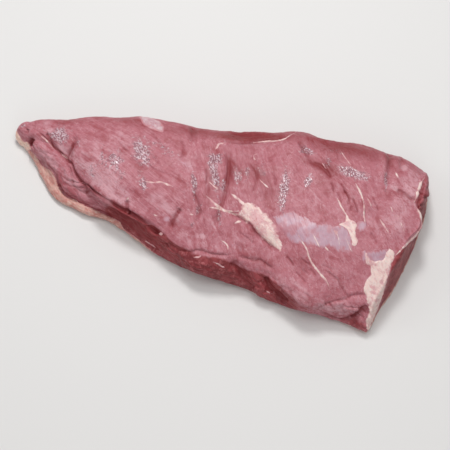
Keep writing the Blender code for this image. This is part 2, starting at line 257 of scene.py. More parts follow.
def viewAxes():
    # The camera's right, its up and the way back from the brisket to it.
    ca, sa = math.cos(photo["azimuth"]), math.sin(photo["azimuth"])
    ce, se = math.cos(photo["elevation"]), math.sin(photo["elevation"])
    back = np.array([sa * ce, -ca * ce, se])
    right = np.array([ca, sa, 0.0])
    return right, np.cross(back, right), back


def seenAt(points):
    # Where points in mm lie in the photograph.
    right, up, back = viewAxes()
    rel = points * mm - (np.array(photo["target"]) + back * photo["distance"])
    depth = -(rel @ back)
    px = photo["centre"] + photo["pixelsPerRadian"] * (rel @ right) / depth
    py = photo["centre"] - photo["pixelsPerRadian"] * (rel @ up) / depth
    return px, py


def smoothPath(path, steps=8):
    # A curve through the places of a path, with "steps" points for each of them.
    knots = np.array(path, float)
    s = np.arange(len(knots), dtype=float)
    fine = np.linspace(0, s[-1], steps * len(knots))
    if len(knots) < 3:
        return np.stack([np.interp(fine, s, knots[:, k]) for k in (0, 1)], 1)
    return np.stack([smoothLine(np.stack([s, knots[:, k]], 1), fine) for k in (0, 1)], 1)


def lineDistance(px, py, line, reach):
    # Distance in pixels from each place to a line of points, and how far along it, 0 to 1.
    # Places further than reach from its box keep the distance "reach".
    dist, share = np.full(px.shape, float(reach)), np.zeros(px.shape)
    low, high = line.min(axis=0) - reach, line.max(axis=0) + reach
    near = (px > low[0]) & (px < high[0]) & (py > low[1]) & (py < high[1])
    x, y = px[near], py[near]
    best, at = np.full(x.shape, float(reach)), np.zeros(x.shape)
    for i in range(len(line) - 1):
        a, d = line[i], line[i + 1] - line[i]
        t = np.clip(((x - a[0]) * d[0] + (y - a[1]) * d[1]) / max(d @ d, 1e-9), 0, 1)
        away = np.hypot(x - a[0] - t * d[0], y - a[1] - t * d[1])
        nearer = away < best
        best = np.where(nearer, away, best)
        at = np.where(nearer, (i + t) / (len(line) - 1), at)
    dist[near], share[near] = best, at
    return dist, share


def insideDistance(px, py, outline, reach=12.0):
    # Distance in pixels to a closed outline, above nothing inside it and below it outside.
    line = smoothPath(outline + outline[:1], 5)
    dist, _ = lineDistance(px, py, line, reach)
    inside = np.zeros(px.shape, bool)
    for (ax, ay), (bx, by) in zip(line[:-1], line[1:]):
        crosses = (ay > py) != (by > py)
        if ay != by:
            inside ^= crosses & (px < (bx - ax) * (py - ay) / (by - ay) + ax)
    return np.where(inside, dist, -dist)


def blobs(px, py, spots):
    # Soft oval spots: (strength, long half, short half, turn in degrees, (x, y)), all in pixels.
    total = np.zeros(px.shape)
    for strength, longHalf, shortHalf, turn, (cx, cy) in spots:
        c, s = math.cos(math.radians(turn)), math.sin(math.radians(turn))
        a = ((px - cx) * c - (py - cy) * s) / longHalf
        b = ((px - cx) * s + (py - cy) * c) / shortHalf
        total += strength * np.exp(-(a * a) - b * b)
    return total


def cloud(points, size, seed):
    # Value noise from -1 to 1: random heights on a lattice with cells "size" wide, mixed smoothly.
    table = np.random.default_rng(seed).uniform(-1, 1, (64, 64, 64))
    place = points / size
    cell = np.floor(place).astype(int)
    part = place - cell
    part = part * part * (3 - 2 * part)
    total = np.zeros(points.shape[:-1])
    for corner in itertools.product((0, 1), repeat=3):
        share = np.prod(np.where(corner, part, 1 - part), axis=-1)
        i, j, k = np.moveaxis((cell + corner) % 64, -1, 0)
        total += share * table[i, j, k]
    return total


def alongGrain(points, turn, length, width):
    # Coordinates that run "length" along the grain and "width" across it for each step of one.
    c, s = math.cos(math.radians(turn)), math.sin(math.radians(turn))
    x, y, z = np.moveaxis(points, -1, 0)
    return np.stack([(x * c + y * s) / length, (y * c - x * s) / width, z / width], axis=-1)


def longSwells(points):
    # Plane waves in random directions, the same every run.
    draw = np.random.default_rng(swells["seed"])
    total = np.zeros(points.shape[:-1])
    for height, length in swells["waves"]:
        for _ in range(swells["each"]):
            way = draw.normal(size=3)
            way /= np.linalg.norm(way)
            phase = draw.uniform(0, 2 * math.pi)
            wave = np.sin(points @ way * 2 * math.pi / length + phase)
            total += height / math.sqrt(swells["each"]) * wave
    return total


def foldDepth(px, py, paths):
    # Depth of all the folds at each place: a bell curve across each path that fades at its ends.
    total, runIn = np.zeros(px.shape), foldFade["runIn"]
    for width, depth, path in paths.values():
        dist, share = lineDistance(px, py, smoothPath(path), foldFade["reach"] * width)
        fade = smoothStep(-foldFade["startShare"] * runIn, runIn, np.minimum(share, 1 - share))
        total += depth * fade * np.exp(-((dist / width) ** 2))
    return total


def facingView(normal):
    # 1 where the skin faces the camera and 0 where it turns away.
    return smoothStep(*foldFade["facing"], normal @ viewAxes()[2])


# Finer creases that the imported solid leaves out, in the same form as its folds.
creases = {
    "longFoldSlit": (1.0, 1.7, [(37, 131), (43, 136), (50, 142), (54, 147), (60, 152), (65, 157), (68, 161),
        (71, 163), (74, 170), (79, 179), (84, 184), (90, 188), (95, 192), (101, 196), (107, 200)]),
    "underLipSlit": (1.6, 2.0, [(107, 200), (120, 208), (132, 214), (142, 221), (152, 229), (159, 235)]),
    "flankSlit": (0.9, 0.7, [(160, 241), (165, 243), (169, 244), (175, 247), (180, 250), (191, 252),
        (196, 250), (202, 251), (208, 253), (214, 254), (222, 255), (231, 255)]),
    "flankSlitRight": (1.1, 0.7, [(240, 257), (249, 259), (254, 261), (260, 260), (266, 264), (272, 268)]),
    "cornerSlit": (1.0, 0.6, [(316, 309), (322, 306), (329, 303), (336, 301), (342, 300), (347, 299),
        (351, 296), (357, 295), (366, 295)]),
    "lobeUnder": (1.2, 1.6, [(319, 310), (326, 314), (334, 318), (341, 319.5), (348, 318), (354, 315),
        (359, 311), (364, 307)]),
    "lobeLineA": (0.9, 0.6, [(330, 304), (334, 310), (337, 315)]),
    "lobeLineB": (0.9, 0.6, [(338, 302), (342, 308), (345, 314)]),
    "lobeLineC": (0.9, 0.6, [(347, 300), (351, 305), (353, 310)]),
    "tornSlitA": (0.9, 1.4, [(419, 191), (423, 195), (427, 199)]),
    "tornSlitB": (0.9, 1.2, [(419, 200), (423, 198), (428, 197)]),
    "tornSlitC": (0.9, 1.2, [(420, 209), (424, 210), (428, 212)]),
    "veeSlit": (1.0, 1.7, [(67, 159), (70, 152), (72, 148), (74, 143)]),
    "tipSlit": (1.2, 1.2, [(46, 133), (49, 138), (51, 141)]),
    "tipSlitShort": (1.2, 0.9, [(50, 134), (52, 136), (53, 139)]),
    "tipCurl": (1.3, 1.0, [(25, 126), (27, 129), (28, 133)]),
    "flapSlit": (1.1, 0.8, [(70, 183), (75, 187), (80, 191), (85, 193), (90, 190)]),
    "flapSlitUp": (1.2, 1.2, [(69, 166), (71, 172), (72, 178), (73, 184)]),
    "fatRimSlit": (1.3, 1.0, [(39, 157), (44, 163), (50, 168), (55, 174), (58, 183), (63, 192), (68, 197),
        (78, 202), (90, 207), (104, 213), (118, 220)]),
    "apronCrease": (1.2, 0.8, [(224, 271), (231, 274), (239, 277)]),
    "rightSlitA": (1.2, 0.8, [(302, 270), (305, 272), (309, 276)]),
    "rightSlitB": (1.2, 0.8, [(310, 269), (313, 272), (316, 276)]),
    "rightSlitC": (1.2, 0.8, [(305, 293), (308, 296), (310, 299)]),
    "rightSlitD": (1.2, 0.7, [(322, 265), (327, 267), (334, 270)]),
    "rightLongSlit": (1.1, 1.3, [(327, 271), (333, 276), (338, 280), (341, 286), (344, 291), (348, 297)]),
    "slitE": (0.9, 1.9, [(345, 190), (347, 194), (349, 199), (348, 205)]),
    "slitF": (0.9, 1.8, [(353, 198), (355, 203), (357, 208), (358, 213)]),
    "slitG": (0.9, 1.5, [(351, 206), (351, 211)]),
    "slitH": (0.9, 1.2, [(371, 233), (374, 237), (377, 243)]),
    "slitI": (0.9, 1.2, [(286, 256), (290, 260), (294, 266)]),
    "slitJ": (0.9, 1.3, [(331, 182), (333, 187), (334, 192)]),
    "slitK": (0.9, 1.2, [(362, 199), (364, 205), (366, 212)]),
    "slitM": (0.9, 1.4, [(341, 183), (344, 188), (345, 193)]),
    "slitN": (0.9, 1.2, [(338, 193), (340, 198), (341, 203)]),
    "slitO": (0.9, 1.0, [(272, 172), (275, 178), (276, 185)]),
    "slitP": (0.9, 0.9, [(301, 258), (305, 262), (310, 265)]),
    "slitQ": (0.9, 1.0, [(374, 198), (377, 204), (379, 211)]),
    "slitR": (0.9, 0.9, [(240, 233), (247, 238), (254, 244)]),
    "slitS": (0.9, 1.0, [(118, 141), (123, 147), (129, 152)]),
    "slitT": (0.9, 1.0, [(206, 168), (207, 176), (206, 184)]),
    "slitL": (0.9, 1.1, [(296, 272), (301, 277), (306, 283)]),
    "crossSlitLeft": (1.4, 1.0, [(194, 193), (197, 201), (199, 209), (198, 216), (195, 222)]),
    "crossSlitRight": (1.4, 1.0, [(229, 156), (229, 166), (228, 176), (226, 190), (223, 202), (219, 213),
        (217, 224)]),
    "thirdSlit": (1.3, 1.1, [(171, 227), (173, 221), (177, 214), (180, 209)]),
    "shortSlit": (1.2, 1.0, [(127, 200), (127, 205), (127, 211)]),
    "leftFurrowA": (1.4, 0.8, [(111, 170), (117, 176), (123, 181)]),
    "leftFurrowB": (1.4, 0.9, [(140, 146), (148, 153), (155, 159), (160, 166)]),
    "leftFurrowC": (1.4, 0.9, [(151, 131), (158, 141), (165, 149), (171, 154)]),
    "leftFurrowD": (1.4, 0.8, [(148, 166), (158, 171), (168, 174), (180, 181), (190, 187)]),
    "leftFurrowE": (1.4, 0.7, [(128, 158), (137, 163), (146, 170)]),
    "curlAtMiddle": (1.3, 1.2, [(181, 140), (184, 147), (183, 154), (181, 158)]),
    "middleFurrowA": (1.4, 0.8, [(231, 160), (238, 168), (244, 176)]),
    "middleFurrowB": (1.4, 0.8, [(250, 163), (254, 169), (257, 174), (256, 184), (253, 192)]),
    "rightFurrowA": (1.4, 0.8, [(299, 142), (303, 149), (308, 156)]),
    "rightFurrowB": (1.4, 0.9, [(313, 163), (320, 165), (327, 172), (331, 178)]),
    "rightFurrowC": (1.4, 0.7, [(322, 158), (328, 164), (333, 171)]),
    "endSlit": (1.3, 1.2, [(397, 189), (404, 193), (410, 198), (416, 200)]),
    "endNotch": (1.6, 2.8, [(418, 206), (423, 205), (430, 203)]),
    "tearUnderLine": (1.4, 2.0, [(424, 181), (423, 188), (420, 197), (418, 205)]),
    "tearMiddle": (1.2, 1.6, [(428, 186), (425, 193), (425, 201)]),
    "tearBelow": (1.3, 1.6, [(418, 206), (421, 211), (424, 219)]),
    "fatSeam": (1.1, 0.8, [(225, 211), (233, 214), (242, 219), (251, 225), (253, 230), (262, 238),
        (271, 246)]),
    "backHollowEdge": (1.4, 1.2, [(225, 141), (240, 143), (255, 142), (270, 140), (284, 137)]),
}

# Loose bundles on the torn end, in the same form as the lumps.
tears = [(2.0, 8, 3, -72, (426, 191)), (2.2, 5, 4, -40, (425, 196)), (1.8, 7, 3, -85, (426, 212)),
         (1.2, 8, 2.5, -100, (424, 226)), (1.2, 9, 3, -118, (411, 250))]
grain = {
    "turns": (-23.0, -62.0, -43.0),  # left, middle and right, in degrees from +X
    "borders": ((176.0, 198.0), (262.0, 300.0)),  # pixels where one passes into the next
    "furrows": ((0.55, 34.0, 3.6), (0.36, 26.0, 3.2), (0.34, 18.0, 2.8)),  # height, length, width in mm
    "fibre": (0.12, 14.0, 1.6),
    "sway": (7.0, 34.0),  # how far and how slowly the furrows wander
    "faint": (0.35, 22.0),  # least strength, and the size of the faint stretches
    "valley": 0.2,  # a noise this near to zero lies in a valley
}
dimples = ((0.40, 11.0, 5), (0.20, 4.5, 6))  # height, size, seed
crags = {
    "height": 1.1,
    "long": 15.0,
    "wide": 4.6,
    "turn": -20.0,
    "bend": (4.0, 13.0),  # how far and how slowly the ridges wander
    "small": (0.35, 6.0, 2.2, -45.0),  # share, length, width and turn of the small ridges
    "gap": 0.24,
    "flank": (9.2, 9.9, 12.2, 12.9),  # where they start and end round the section, in corners
    "back": (1.2, 1.8, 2.6, 3.4),
    "backShare": 0.45,
}
# How the relief is mixed: calm areas, the stretch above the floor and the painted shade in folds and gaps.
relief = {"calmed": 0.75, "floorRun": 9.0, "foldShade": 0.35, "gapShade": 0.9}


def grainWeights(px):
    # Shares of the left, middle and right grain, which pass into each other along the picture.
    (a, b), (c, d) = grain["borders"]
    pastLeft, pastMiddle = smoothStep(a, b, px), smoothStep(c, d, px)
    return 1 - pastLeft, pastLeft - pastMiddle, pastMiddle


def grainRelief(points, px):
    # Rounded bundles with thin valleys between them, where stretched noise passes through zero.
    # Returns their height and how deep in a valley each point is.
    reach, size = grain["sway"]
    swayed = points + reach * np.stack([cloud(points, size, seed) for seed in (16, 17, 18)], axis=-1)
    least, size = grain["faint"]
    strong = least + (1 - least) * smoothStep(-0.5, 0.4, cloud(points, size, 19))
    lift, valley = np.zeros(px.shape), np.zeros(px.shape)
    for weight, turn, (height, length, width) in zip(grainWeights(px), grain["turns"], grain["furrows"]):
        noise = np.abs(cloud(alongGrain(swayed, turn, length, width), 1.0, 20))
        lift += weight * strong * height * (np.sqrt(noise) - 0.6)
        valley += weight * strong * smoothStep(grain["valley"], 0.0, noise)
        height, length, width = grain["fibre"]
        lift += weight * height * cloud(alongGrain(swayed, turn, length, width), 1.0, 21)
    return lift, valley


def cragRelief(points, v):
    # Torn, crumpled flesh on the flanks: ridges between hollows, drawn out along the flank.
    a, b, c, d = crags["flank"]
    weight = smoothStep(a, b, v) * smoothStep(d, c, v)
    a, b, c, d = crags["back"]
    weight = (weight + crags["backShare"] * smoothStep(a, b, v) * smoothStep(d, c, v))[None, :]
    reach, size = crags["bend"]
    bent = points + reach * np.stack([cloud(points, size, seed) for seed in (71, 72, 73)], axis=-1)
    noise = cloud(alongGrain(bent, crags["turn"], crags["long"], crags["wide"]), 1.0, 74)
    share, length, width, turn = crags["small"]
    crag = np.abs(noise) * 1.6 - 0.5 + share * cloud(alongGrain(bent, turn, length, width), 1.0, 75)
    return weight * crags["height"] * crag, weight * smoothStep(crags["gap"], 0.0, np.abs(noise))


def skin(t, v, closed=False):
    # The finished skin in mm: the imported solid's form with the shelf, then the finer creases and grain.
    # Returns the points, their normals, where they show, and how deep each lies in a crease and in a grain
    # valley, which the materials paint as shade.
    base, scale = loft(t, v)
    normal = outward(base, closed)
    px, py = seenAt(base)
    facing = facingView(normal)
    whole = smoothStep(0, 1, scale)[:, None]
    deep = foldDepth(px, py, folds) * facing
    lift = blobs(px, py, lumps.values()) * facing - deep
    lift += longSwells(base) * smoothStep(0, swells["fromZ"], base[..., 2])
    points = base + normal * (lift * whole)[..., None]
    normal = outward(points, closed)
    px, py = seenAt(points)
    facing = facingView(normal)
    slit = foldDepth(px, py, creases) * facing
    clear = smoothStep(0, relief["floorRun"], points[..., 2])
    furrow, valley = grainRelief(points, px)
    rough = 1 - relief["calmed"] * np.clip(blobs(px, py, zones["smooth"]) * facing, 0, 1)
    furrow, valley = furrow * rough, valley * rough
    crag, gap = cragRelief(points, v)
    fine = (furrow + crag) * clear - slit + blobs(px, py, tears) * facing
    for height, size, seed in dimples:
        fine += height * cloud(points, size, seed) * clear
    points = points + normal * (fine * whole)[..., None]
    points[..., 2] = np.maximum(points[..., 2], 0.0)
    px, py = seenAt(points)
    return {"points": points, "normal": normal, "px": px, "py": py, "facing": facing,
            "crease": (relief["foldShade"] * deep + slit + relief["gapShade"] * gap) * whole,
            "valley": valley * clear * whole}


def meshObject(name, points, faces):
    # A smooth mesh from points in mm.
    data = bpy.data.meshes.new(name)
    data.from_pydata((points * mm).tolist(), [], faces.tolist() if hasattr(faces, "tolist") else faces)
    data.shade_smooth()
    obj = bpy.data.objects.new(name, data)
    bpy.context.scene.collection.objects.link(obj)
    return obj


def gridFaces(rows, columns, closed):
    # Quads of a grid of points, facing out where rows run along and columns round.
    i, j = np.meshgrid(np.arange(rows - 1), np.arange(columns if closed else columns - 1), indexing="ij")
    k = (j + 1) % columns
    return np.stack([i * columns + j, (i + 1) * columns + j, (i + 1) * columns + k, i * columns + k],
                    axis=-1).reshape(-1, 4)


def colourAttribute(obj, name, shares):
    # Three shares from 0 to 1 kept as a colour on each vertex.
    flat = np.ones((len(obj.data.vertices), 4), np.float32)
    for k, channel in enumerate(shares):
        flat[:, k] = channel
    attribute = obj.data.color_attributes.new(name, "FLOAT_COLOR", "POINT")
    attribute.data.foreach_set("color", flat.ravel())


print("brisket: skin ready")

# The lean, in three closed pieces that each sink under the next past a seam. Steps are for each
# stretch of the section from corner to corner.
lean = {
    "pieces": {"lean_tip": (-400.0, -78.0), "lean_middle": (-78.0, 62.0), "lean_end": (62.0, 400.0)},
    "overlap": 12.0,
    "sink": 2.0,
    "rings": 540,
    "tipRings": 16,
    "endRings": 56,
    "lastShare": 0.985,
    "steps": (4, 12, 16, 18, 36, 54, 62, 44, 32, 18, 34, 26, 10, 4, 6, 6),
    "liftFromFloor": 1.0,
    # Painted shade: these shares paint the flank (partly its darker flesh), creases, grain valleys and skin
    # turned from the camera darker.
    "paintedShade": {"flank": 0.15, "crease": 0.42, "valley": 0.28, "away": 0.2},
    # The red flank under the lip: corners round the section, and pixels along the picture.
    "flank": {"from": 9.0, "lower": 0.7, "lowerAt": (222, 245), "to": (13.2, 12.4), "left": (95, 125),
              "right": (306, 290), "raw": 0.85, "lessRaw": 0.2, "lessAt": (240, 270)},
    # The cut face past endX in mm, where it turns from the camera, and fainter above the torn corner.
    "cutFace": {"past": (2, 8), "turned": (0.45, 0.25), "fainter": 0.5, "above": (215, 200)},
    "torn": {"edge": (-0.5, 1.5), "upper": 0.45, "more": 0.45, "moreAt": (205, 235)},
}
# Painted zones: strength, long half, short half, turn, place, all in pixels.
zones = {
    # Film zones: pale film; on the flap and the corner lobe they are painted light as well.
    "film": [(0.9, 30, 16, -38, (98, 168)), (0.9, 24, 9, -38, (114, 194)), (0.7, 20, 12, -30, (165, 203)),
        (0.5, 12, 5, -40, (60, 148)), (0.8, 5, 8, 10, (189, 164)), (0.6, 14, 18, -60, (408, 184)),
        (0.5, 12, 6, -30, (242, 243)), (0.4, 16, 8, -20, (310, 204)), (0.5, 24, 12, -38, (190, 236)),
        (0.5, 14, 6, 80, (206, 180)), (0.4, 30, 18, -40, (370, 215)), (0.4, 16, 10, -60, (125, 150)),
        (0.5, 20, 6, -20, (300, 300)), (0.6, 10, 18, 0, (400, 222)), (0.75, 22, 8, -50, (48, 160)),
        (0.7, 12, 6, -40, (72, 184)), (0.9, 24, 8, -10, (338, 309)), (0.4, 30, 14, -30, (330, 275)),
        (1.3, 3.5, 2.5, 20, (404, 168)), (1.2, 4, 2.5, -30, (394, 188)), (1.0, 4, 2.5, 0, (203, 236)),
        (0.5, 30, 9, -30, (290, 287)), (0.7, 12, 1.6, -38, (104, 184)), (0.7, 14, 1.8, -60, (66, 140)),
        (0.8, 18, 1.5, -36, (86, 168)), (0.6, 16, 1.6, -32, (160, 178)), (0.7, 12, 1.4, -62, (214, 226)),
        (0.6, 20, 1.6, -88, (221, 180)), (0.6, 18, 1.4, -50, (316, 196)), (0.5, 16, 1.4, -52, (340, 236)),
        (0.6, 14, 1.6, -40, (248, 252)), (0.5, 18, 1.5, -42, (300, 286)), (0.6, 10, 2.0, -90, (384, 165)),
        (0.4, 24, 10, -10, (110, 135)), (0.7, 12, 5, -50, (52, 132)), (0.6, 10, 16, -20, (410, 196))],
    # Dark zones: deeper red patches, and painted shade under the lip, by the flap, in the back hollow and on
    # the top edge.
    "dark": [(1.1, 32, 4, -1, (253, 136.5)), (0.3, 10, 4, -40, (88, 189)), (0.9, 60, 9, -14, (345, 148)),
        (0.4, 20, 24, 0, (246, 168)), (0.7, 44, 6, -4, (190, 131)), (0.5, 14, 20, 0, (330, 172)),
        (1.4, 28, 5, -36, (130, 222)), (0.6, 5, 24, 0, (210, 182)), (0.5, 4, 16, 0, (231, 172)),
        (0.4, 6, 9, 0, (176, 226)), (0.6, 24, 5, -20, (314, 164)), (0.9, 3, 3, 0, (32, 142)),
        (0.4, 20, 10, -35, (262, 262)), (0.5, 24, 5, 0, (70, 121)), (0.5, 30, 5, -4, (130, 121)),
        (0.45, 14, 14, 0, (272, 192)), (0.3, 10, 6, -30, (300, 300)), (0.5, 10, 6, -40, (260, 176)),
        (0.5, 8, 5, -30, (352, 196)), (0.4, 24, 8, -20, (300, 262))],
    # Raw zones: raw red flesh; in the back hollow, under the lip and on the top edge they redden the painted
    # shade there.
    "raw": [(1.2, 30, 5, -1, (252, 136.5)), (0.75, 14, 7, -20, (355, 323)), (0.9, 24, 7, -38, (130, 222)),
        (0.6, 22, 8, -40, (258, 284)), (0.4, 60, 5, -14, (345, 146)), (0.35, 30, 5, -4, (130, 120))],
    # Glint zones: glints are painted into the colour there, and they weight a real glossy coat.
    "wetAndGlint": [(0.95, 10, 9, 0, (60, 135)), (0.9, 9, 16, 20, (141, 152)), (0.7, 5, 9, 10, (143, 184)),
        (0.5, 4, 5, 0, (23, 127)), (0.55, 9, 12, -30, (112, 160)), (0.5, 14, 6, -30, (165, 150)),
        (0.9, 2.5, 8, 10, (195, 182)), (0.8, 2.5, 6, -10, (198, 210)), (0.7, 3, 3, 0, (193, 224)),
        (1.0, 7, 6, 0, (215, 159)), (1.2, 4, 13, 15, (215, 177)), (0.7, 2.5, 10, 0, (224, 186)),
        (0.7, 5, 12, 10, (237, 175)), (0.6, 3, 6, 0, (247, 174)), (1.1, 5, 21, -8, (284, 190)),
        (0.6, 2.5, 14, 5, (194, 192)), (0.45, 3, 14, 5, (219, 212)), (0.4, 10, 8, -30, (262, 170)),
        (0.9, 4, 9, -20, (308, 182)), (0.9, 8, 4, -30, (307, 150)), (0.7, 3, 5, 0, (328, 162)),
        (1.1, 18, 5, -18, (353, 173)), (0.8, 2, 9, 0, (386, 180)), (0.5, 4, 6, 0, (79, 144)),
        (0.5, 5, 10, 0, (92, 170)), (0.5, 2, 10, 0, (102, 155)), (0.35, 6, 16, 10, (120, 170)),
        (0.4, 10, 6, -30, (335, 152)), (0.3, 3, 10, 0, (218, 222))],
    "pink": [(1.2, 9, 6, -52, (257, 219)), (0.8, 4, 3, -40, (265, 229)), (0.7, 8, 4, -30, (240, 213)),
        (1.0, 6, 2.5, -12, (372, 264)), (1.2, 4, 1, -20, (373, 293)), (0.7, 2, 6, -75, (375, 301)),
        (0.5, 2, 9, -15, (383, 277)), (0.5, 5, 4, 0, (378, 283)), (1.0, 14, 8, 0, (152, 126)),
        (1.3, 80, 14, -23, (215, 268)), (1.2, 14, 12, -20, (286, 230)), (1.1, 18, 6, -15, (293, 220))],
    "smooth": [(1.0, 28, 12, -50, (50, 160)), (0.8, 24, 9, -10, (338, 311)), (0.6, 12, 8, 0, (24, 134)),
        (0.5, 30, 14, -38, (112, 180)), (0.7, 16, 16, 0, (408, 210))],
    "lilac": [(0.15, 20, 7, -52, (46, 158)), (0.8, 4, 3, 0, (167, 219)), (0.4, 9, 5, -30, (186, 165)),
        (0.35, 16, 7, -30, (276, 226)), (0.4, 10, 5, -30, (238, 246))],
}


# The torn end face, between its cream line and the outline, in pixels.
tornFace = [
    (427, 172), (421, 183), (418.5, 190), (416.5, 197), (414, 202), (416.5, 207), (419.5, 213), (422.5, 220),
    (421, 227), (415.5, 235), (408, 242.5), (401, 250), (395, 257), (391.5, 264), (390, 272), (387, 282),
    (384, 292), (380.5, 303), (376, 314), (371, 332), (385, 345), (430, 290), (446, 230), (448, 180),
]


def leanGrid():
    # Steps along the length, closer round the tip and over the end face, and steps round the section.
    tipRun = form["tipBulge"] * math.pi / 2
    tips = form["tipX"] - tipRun * np.linspace(lean["lastShare"], 0, lean["tipRings"] + 1)
    body = np.linspace(form["tipX"], form["endX"], lean["rings"])
    endShares = np.linspace(0, lean["lastShare"], lean["endRings"] + 1) ** form["endStepPower"]
    t = np.concatenate([tips[:-1], body, (form["endX"] + form["endRun"] * endShares)[1:]])
    v = np.concatenate([i + np.arange(n) / n for i, n in enumerate(lean["steps"])])
    return t, v


def leanShares(shape, t, v):
    # The shares its material reads: film, dark (painted shade and deeper red) and lilac, then painted glints,
    # steep grain and raw flesh.
    px, py, facing = shape["px"], shape["py"], shape["facing"]
    towards = shape["normal"] @ viewAxes()[2]
    film, dark, wetAndGlint, lilac, raw = (blobs(px, py, zones[kind]) * facing
                                   for kind in ("film", "dark", "wetAndGlint", "lilac", "raw"))
    side, paintedShade = lean["flank"], lean["paintedShade"]
    flank = smoothStep(0.0, 0.4, v[None, :] - side["from"] - side["lower"] * smoothStep(*side["lowerAt"], px))
    flank = flank * smoothStep(*side["to"], v)[None, :]
    flank = flank * smoothStep(*side["left"], px) * smoothStep(*side["right"], px)
    # Painted shade: darker on the flank, in creases and grain valleys, and where the skin turns from the
    # camera.
    dark = dark + paintedShade["flank"] * flank + paintedShade["crease"] * np.clip(shape["crease"], 0, 3)
    dark = dark + paintedShade["valley"] * shape["valley"] + paintedShade["away"] * (1 - smoothStep(0.1, 0.75, towards))
    _, middle, right = grainWeights(px)
    cut, torn = lean["cutFace"], lean["torn"]
    cutFace = smoothStep(*cut["past"], t - form["endX"])[:, None] * smoothStep(*cut["turned"], towards)
    cutFace = cutFace * (1 - cut["fainter"] * smoothStep(*cut["above"], py) * facing)
    tornRed = smoothStep(*torn["edge"], insideDistance(px, py, tornFace)) * facing
    tornRed = tornRed * (torn["upper"] + torn["more"] * smoothStep(*torn["moreAt"], py))
    flankRed = (side["raw"] - side["lessRaw"] * smoothStep(*side["lessAt"], px)) * flank
    raw = np.maximum(raw + flankRed, np.maximum(cutFace, tornRed))
    return (film, dark, lilac), (wetAndGlint, middle + 0.5 * right, raw)


def makeLean(name, seamLow, seamHigh):
    # The skin between two seams, which sinks a little past each of them, closed by a pole at both ends.
    allT, v = leanGrid()
    overlap = lean["overlap"]
    t = allT[(allT > seamLow - overlap) & (allT < seamHigh + overlap)]
    shape = skin(t, v, closed=True)
    past = np.clip(np.maximum(seamLow - t, t - seamHigh) / overlap, 0, 1)
    grid = shape["points"] - shape["normal"] * (lean["sink"] * past**2)[:, None, None]
    rows, columns = grid.shape[:2]
    grid[..., 2] = np.maximum(grid[..., 2], lean["liftFromFloor"])
    poles = np.stack([grid[0].mean(axis=0), grid[-1].mean(axis=0)])
    here = np.arange(columns)
    onward, lastRing = (here + 1) % columns, (rows - 1) * columns
    first, last = np.full(columns, rows * columns), np.full(columns, rows * columns + 1)
    faces = gridFaces(rows, columns, True).tolist()
    faces += np.stack([first, here, onward], axis=1).tolist()
    faces += np.stack([last, lastRing + onward, lastRing + here], axis=1).tolist()
    obj = meshObject(name, np.concatenate([grid.reshape(-1, 3), poles]), faces)

    def spread(values):
        return np.clip(np.concatenate([values.ravel(), [values[0].mean(), values[-1].mean()]]), 0, 2)

    for attribute, shares in zip(("tones", "finish"), leanShares(shape, t, v)):
        colourAttribute(obj, attribute, [spread(share) for share in shares])
    return obj


def newMaterial(name):
    material = bpy.data.materials.new(name)
    material.use_nodes = True
    return material, material.node_tree


def shaded(material, values):
    # Feeds the shader's sockets by name and returns the material.
    tree = material.node_tree
    for name, value in values.items():
        feed(tree, tree.nodes["Principled BSDF"].inputs[name], value)
    return material


def feed(tree, socket, value):
    # Links a socket to another node's output, or sets it.
    if isinstance(value, bpy.types.NodeSocket):
        tree.links.new(value, socket)
    else:
        socket.default_value = value


def addNode(tree, kind, settings=None, **sockets):
    # A node with its settings, and its sockets by name. A double underscore starts a socket's number.
    node = tree.nodes.new("ShaderNode" + kind)
    for key, value in (settings or {}).items():
        setattr(node, key, value)
    for key, value in sockets.items():
        feed(tree, node.inputs[int(key[2:]) if key.startswith("__") else key], value)
    return node


def objectPlace(tree):
    return addNode(tree, "TexCoord").outputs["Object"]


def channels(tree, name):
    # The three shares kept in a colour attribute.
    colour = addNode(tree, "Attribute", {"attribute_name": name}).outputs[0]
    return addNode(tree, "SeparateColor", Color=colour).outputs


def grainNoise(tree, where, turn, length, width, detail=3.0, roughness=0.55):
    # Noise stretched along the grain, with length and width in metres.
    space = addNode(tree, "Mapping", {"vector_type": "TEXTURE"}, Vector=where,
                    Rotation=(0, 0, math.radians(turn)), Scale=(length, width, width))
    noise = addNode(tree, "TexNoise", Vector=space.outputs[0], Scale=1.0, Detail=detail, Roughness=roughness)
    return noise.outputs["Fac"]


def plainNoise(tree, where, size, detail=3.0, roughness=0.55, distortion=0.0):
    noise = addNode(tree, "TexNoise", Vector=where, Scale=1 / size, Detail=detail, Roughness=roughness,
                    Distortion=distortion)
    return noise.outputs["Fac"]


def remap(tree, value, low, high, atLow=0.0, atHigh=1.0):
    # An S curve from atLow, where the value is low, to atHigh.
    node = addNode(tree, "MapRange", {"interpolation_type": "SMOOTHSTEP"}, Value=value)
    for key, number in (("From Min", low), ("From Max", high), ("To Min", atLow), ("To Max", atHigh)):
        node.inputs[key].default_value = number
    return node.outputs[0]


def calculate(tree, operation, a, b=0.0, clamp=False):
    return addNode(tree, "Math", {"operation": operation, "use_clamp": clamp}, __0=a, __1=b).outputs[0]


def plus(tree, a, b):
    return calculate(tree, "ADD", a, b)


def times(tree, a, b, clamp=False):
    return calculate(tree, "MULTIPLY", a, b, clamp)


def unevenly(tree, value, noise, reach):
    # The value, raised where the noise is above its middle and lowered where it is below.
    return plus(tree, value, times(tree, calculate(tree, "SUBTRACT", noise, 0.5), reach))


def offMiddle(tree, noise):
    # How far a noise is from its middle: thin winding lines where that is near zero.
    return calculate(tree, "ABSOLUTE", calculate(tree, "SUBTRACT", noise, 0.5))


def blendColour(tree, share, a, b):
    node = addNode(tree, "Mix", {"data_type": "RGBA"}, Factor=share)
    for socket, colour in ((6, a), (7, b)):
        feed(tree, node.inputs[socket], (*colour, 1.0) if isinstance(colour, tuple) else colour)
    return node.outputs[2]


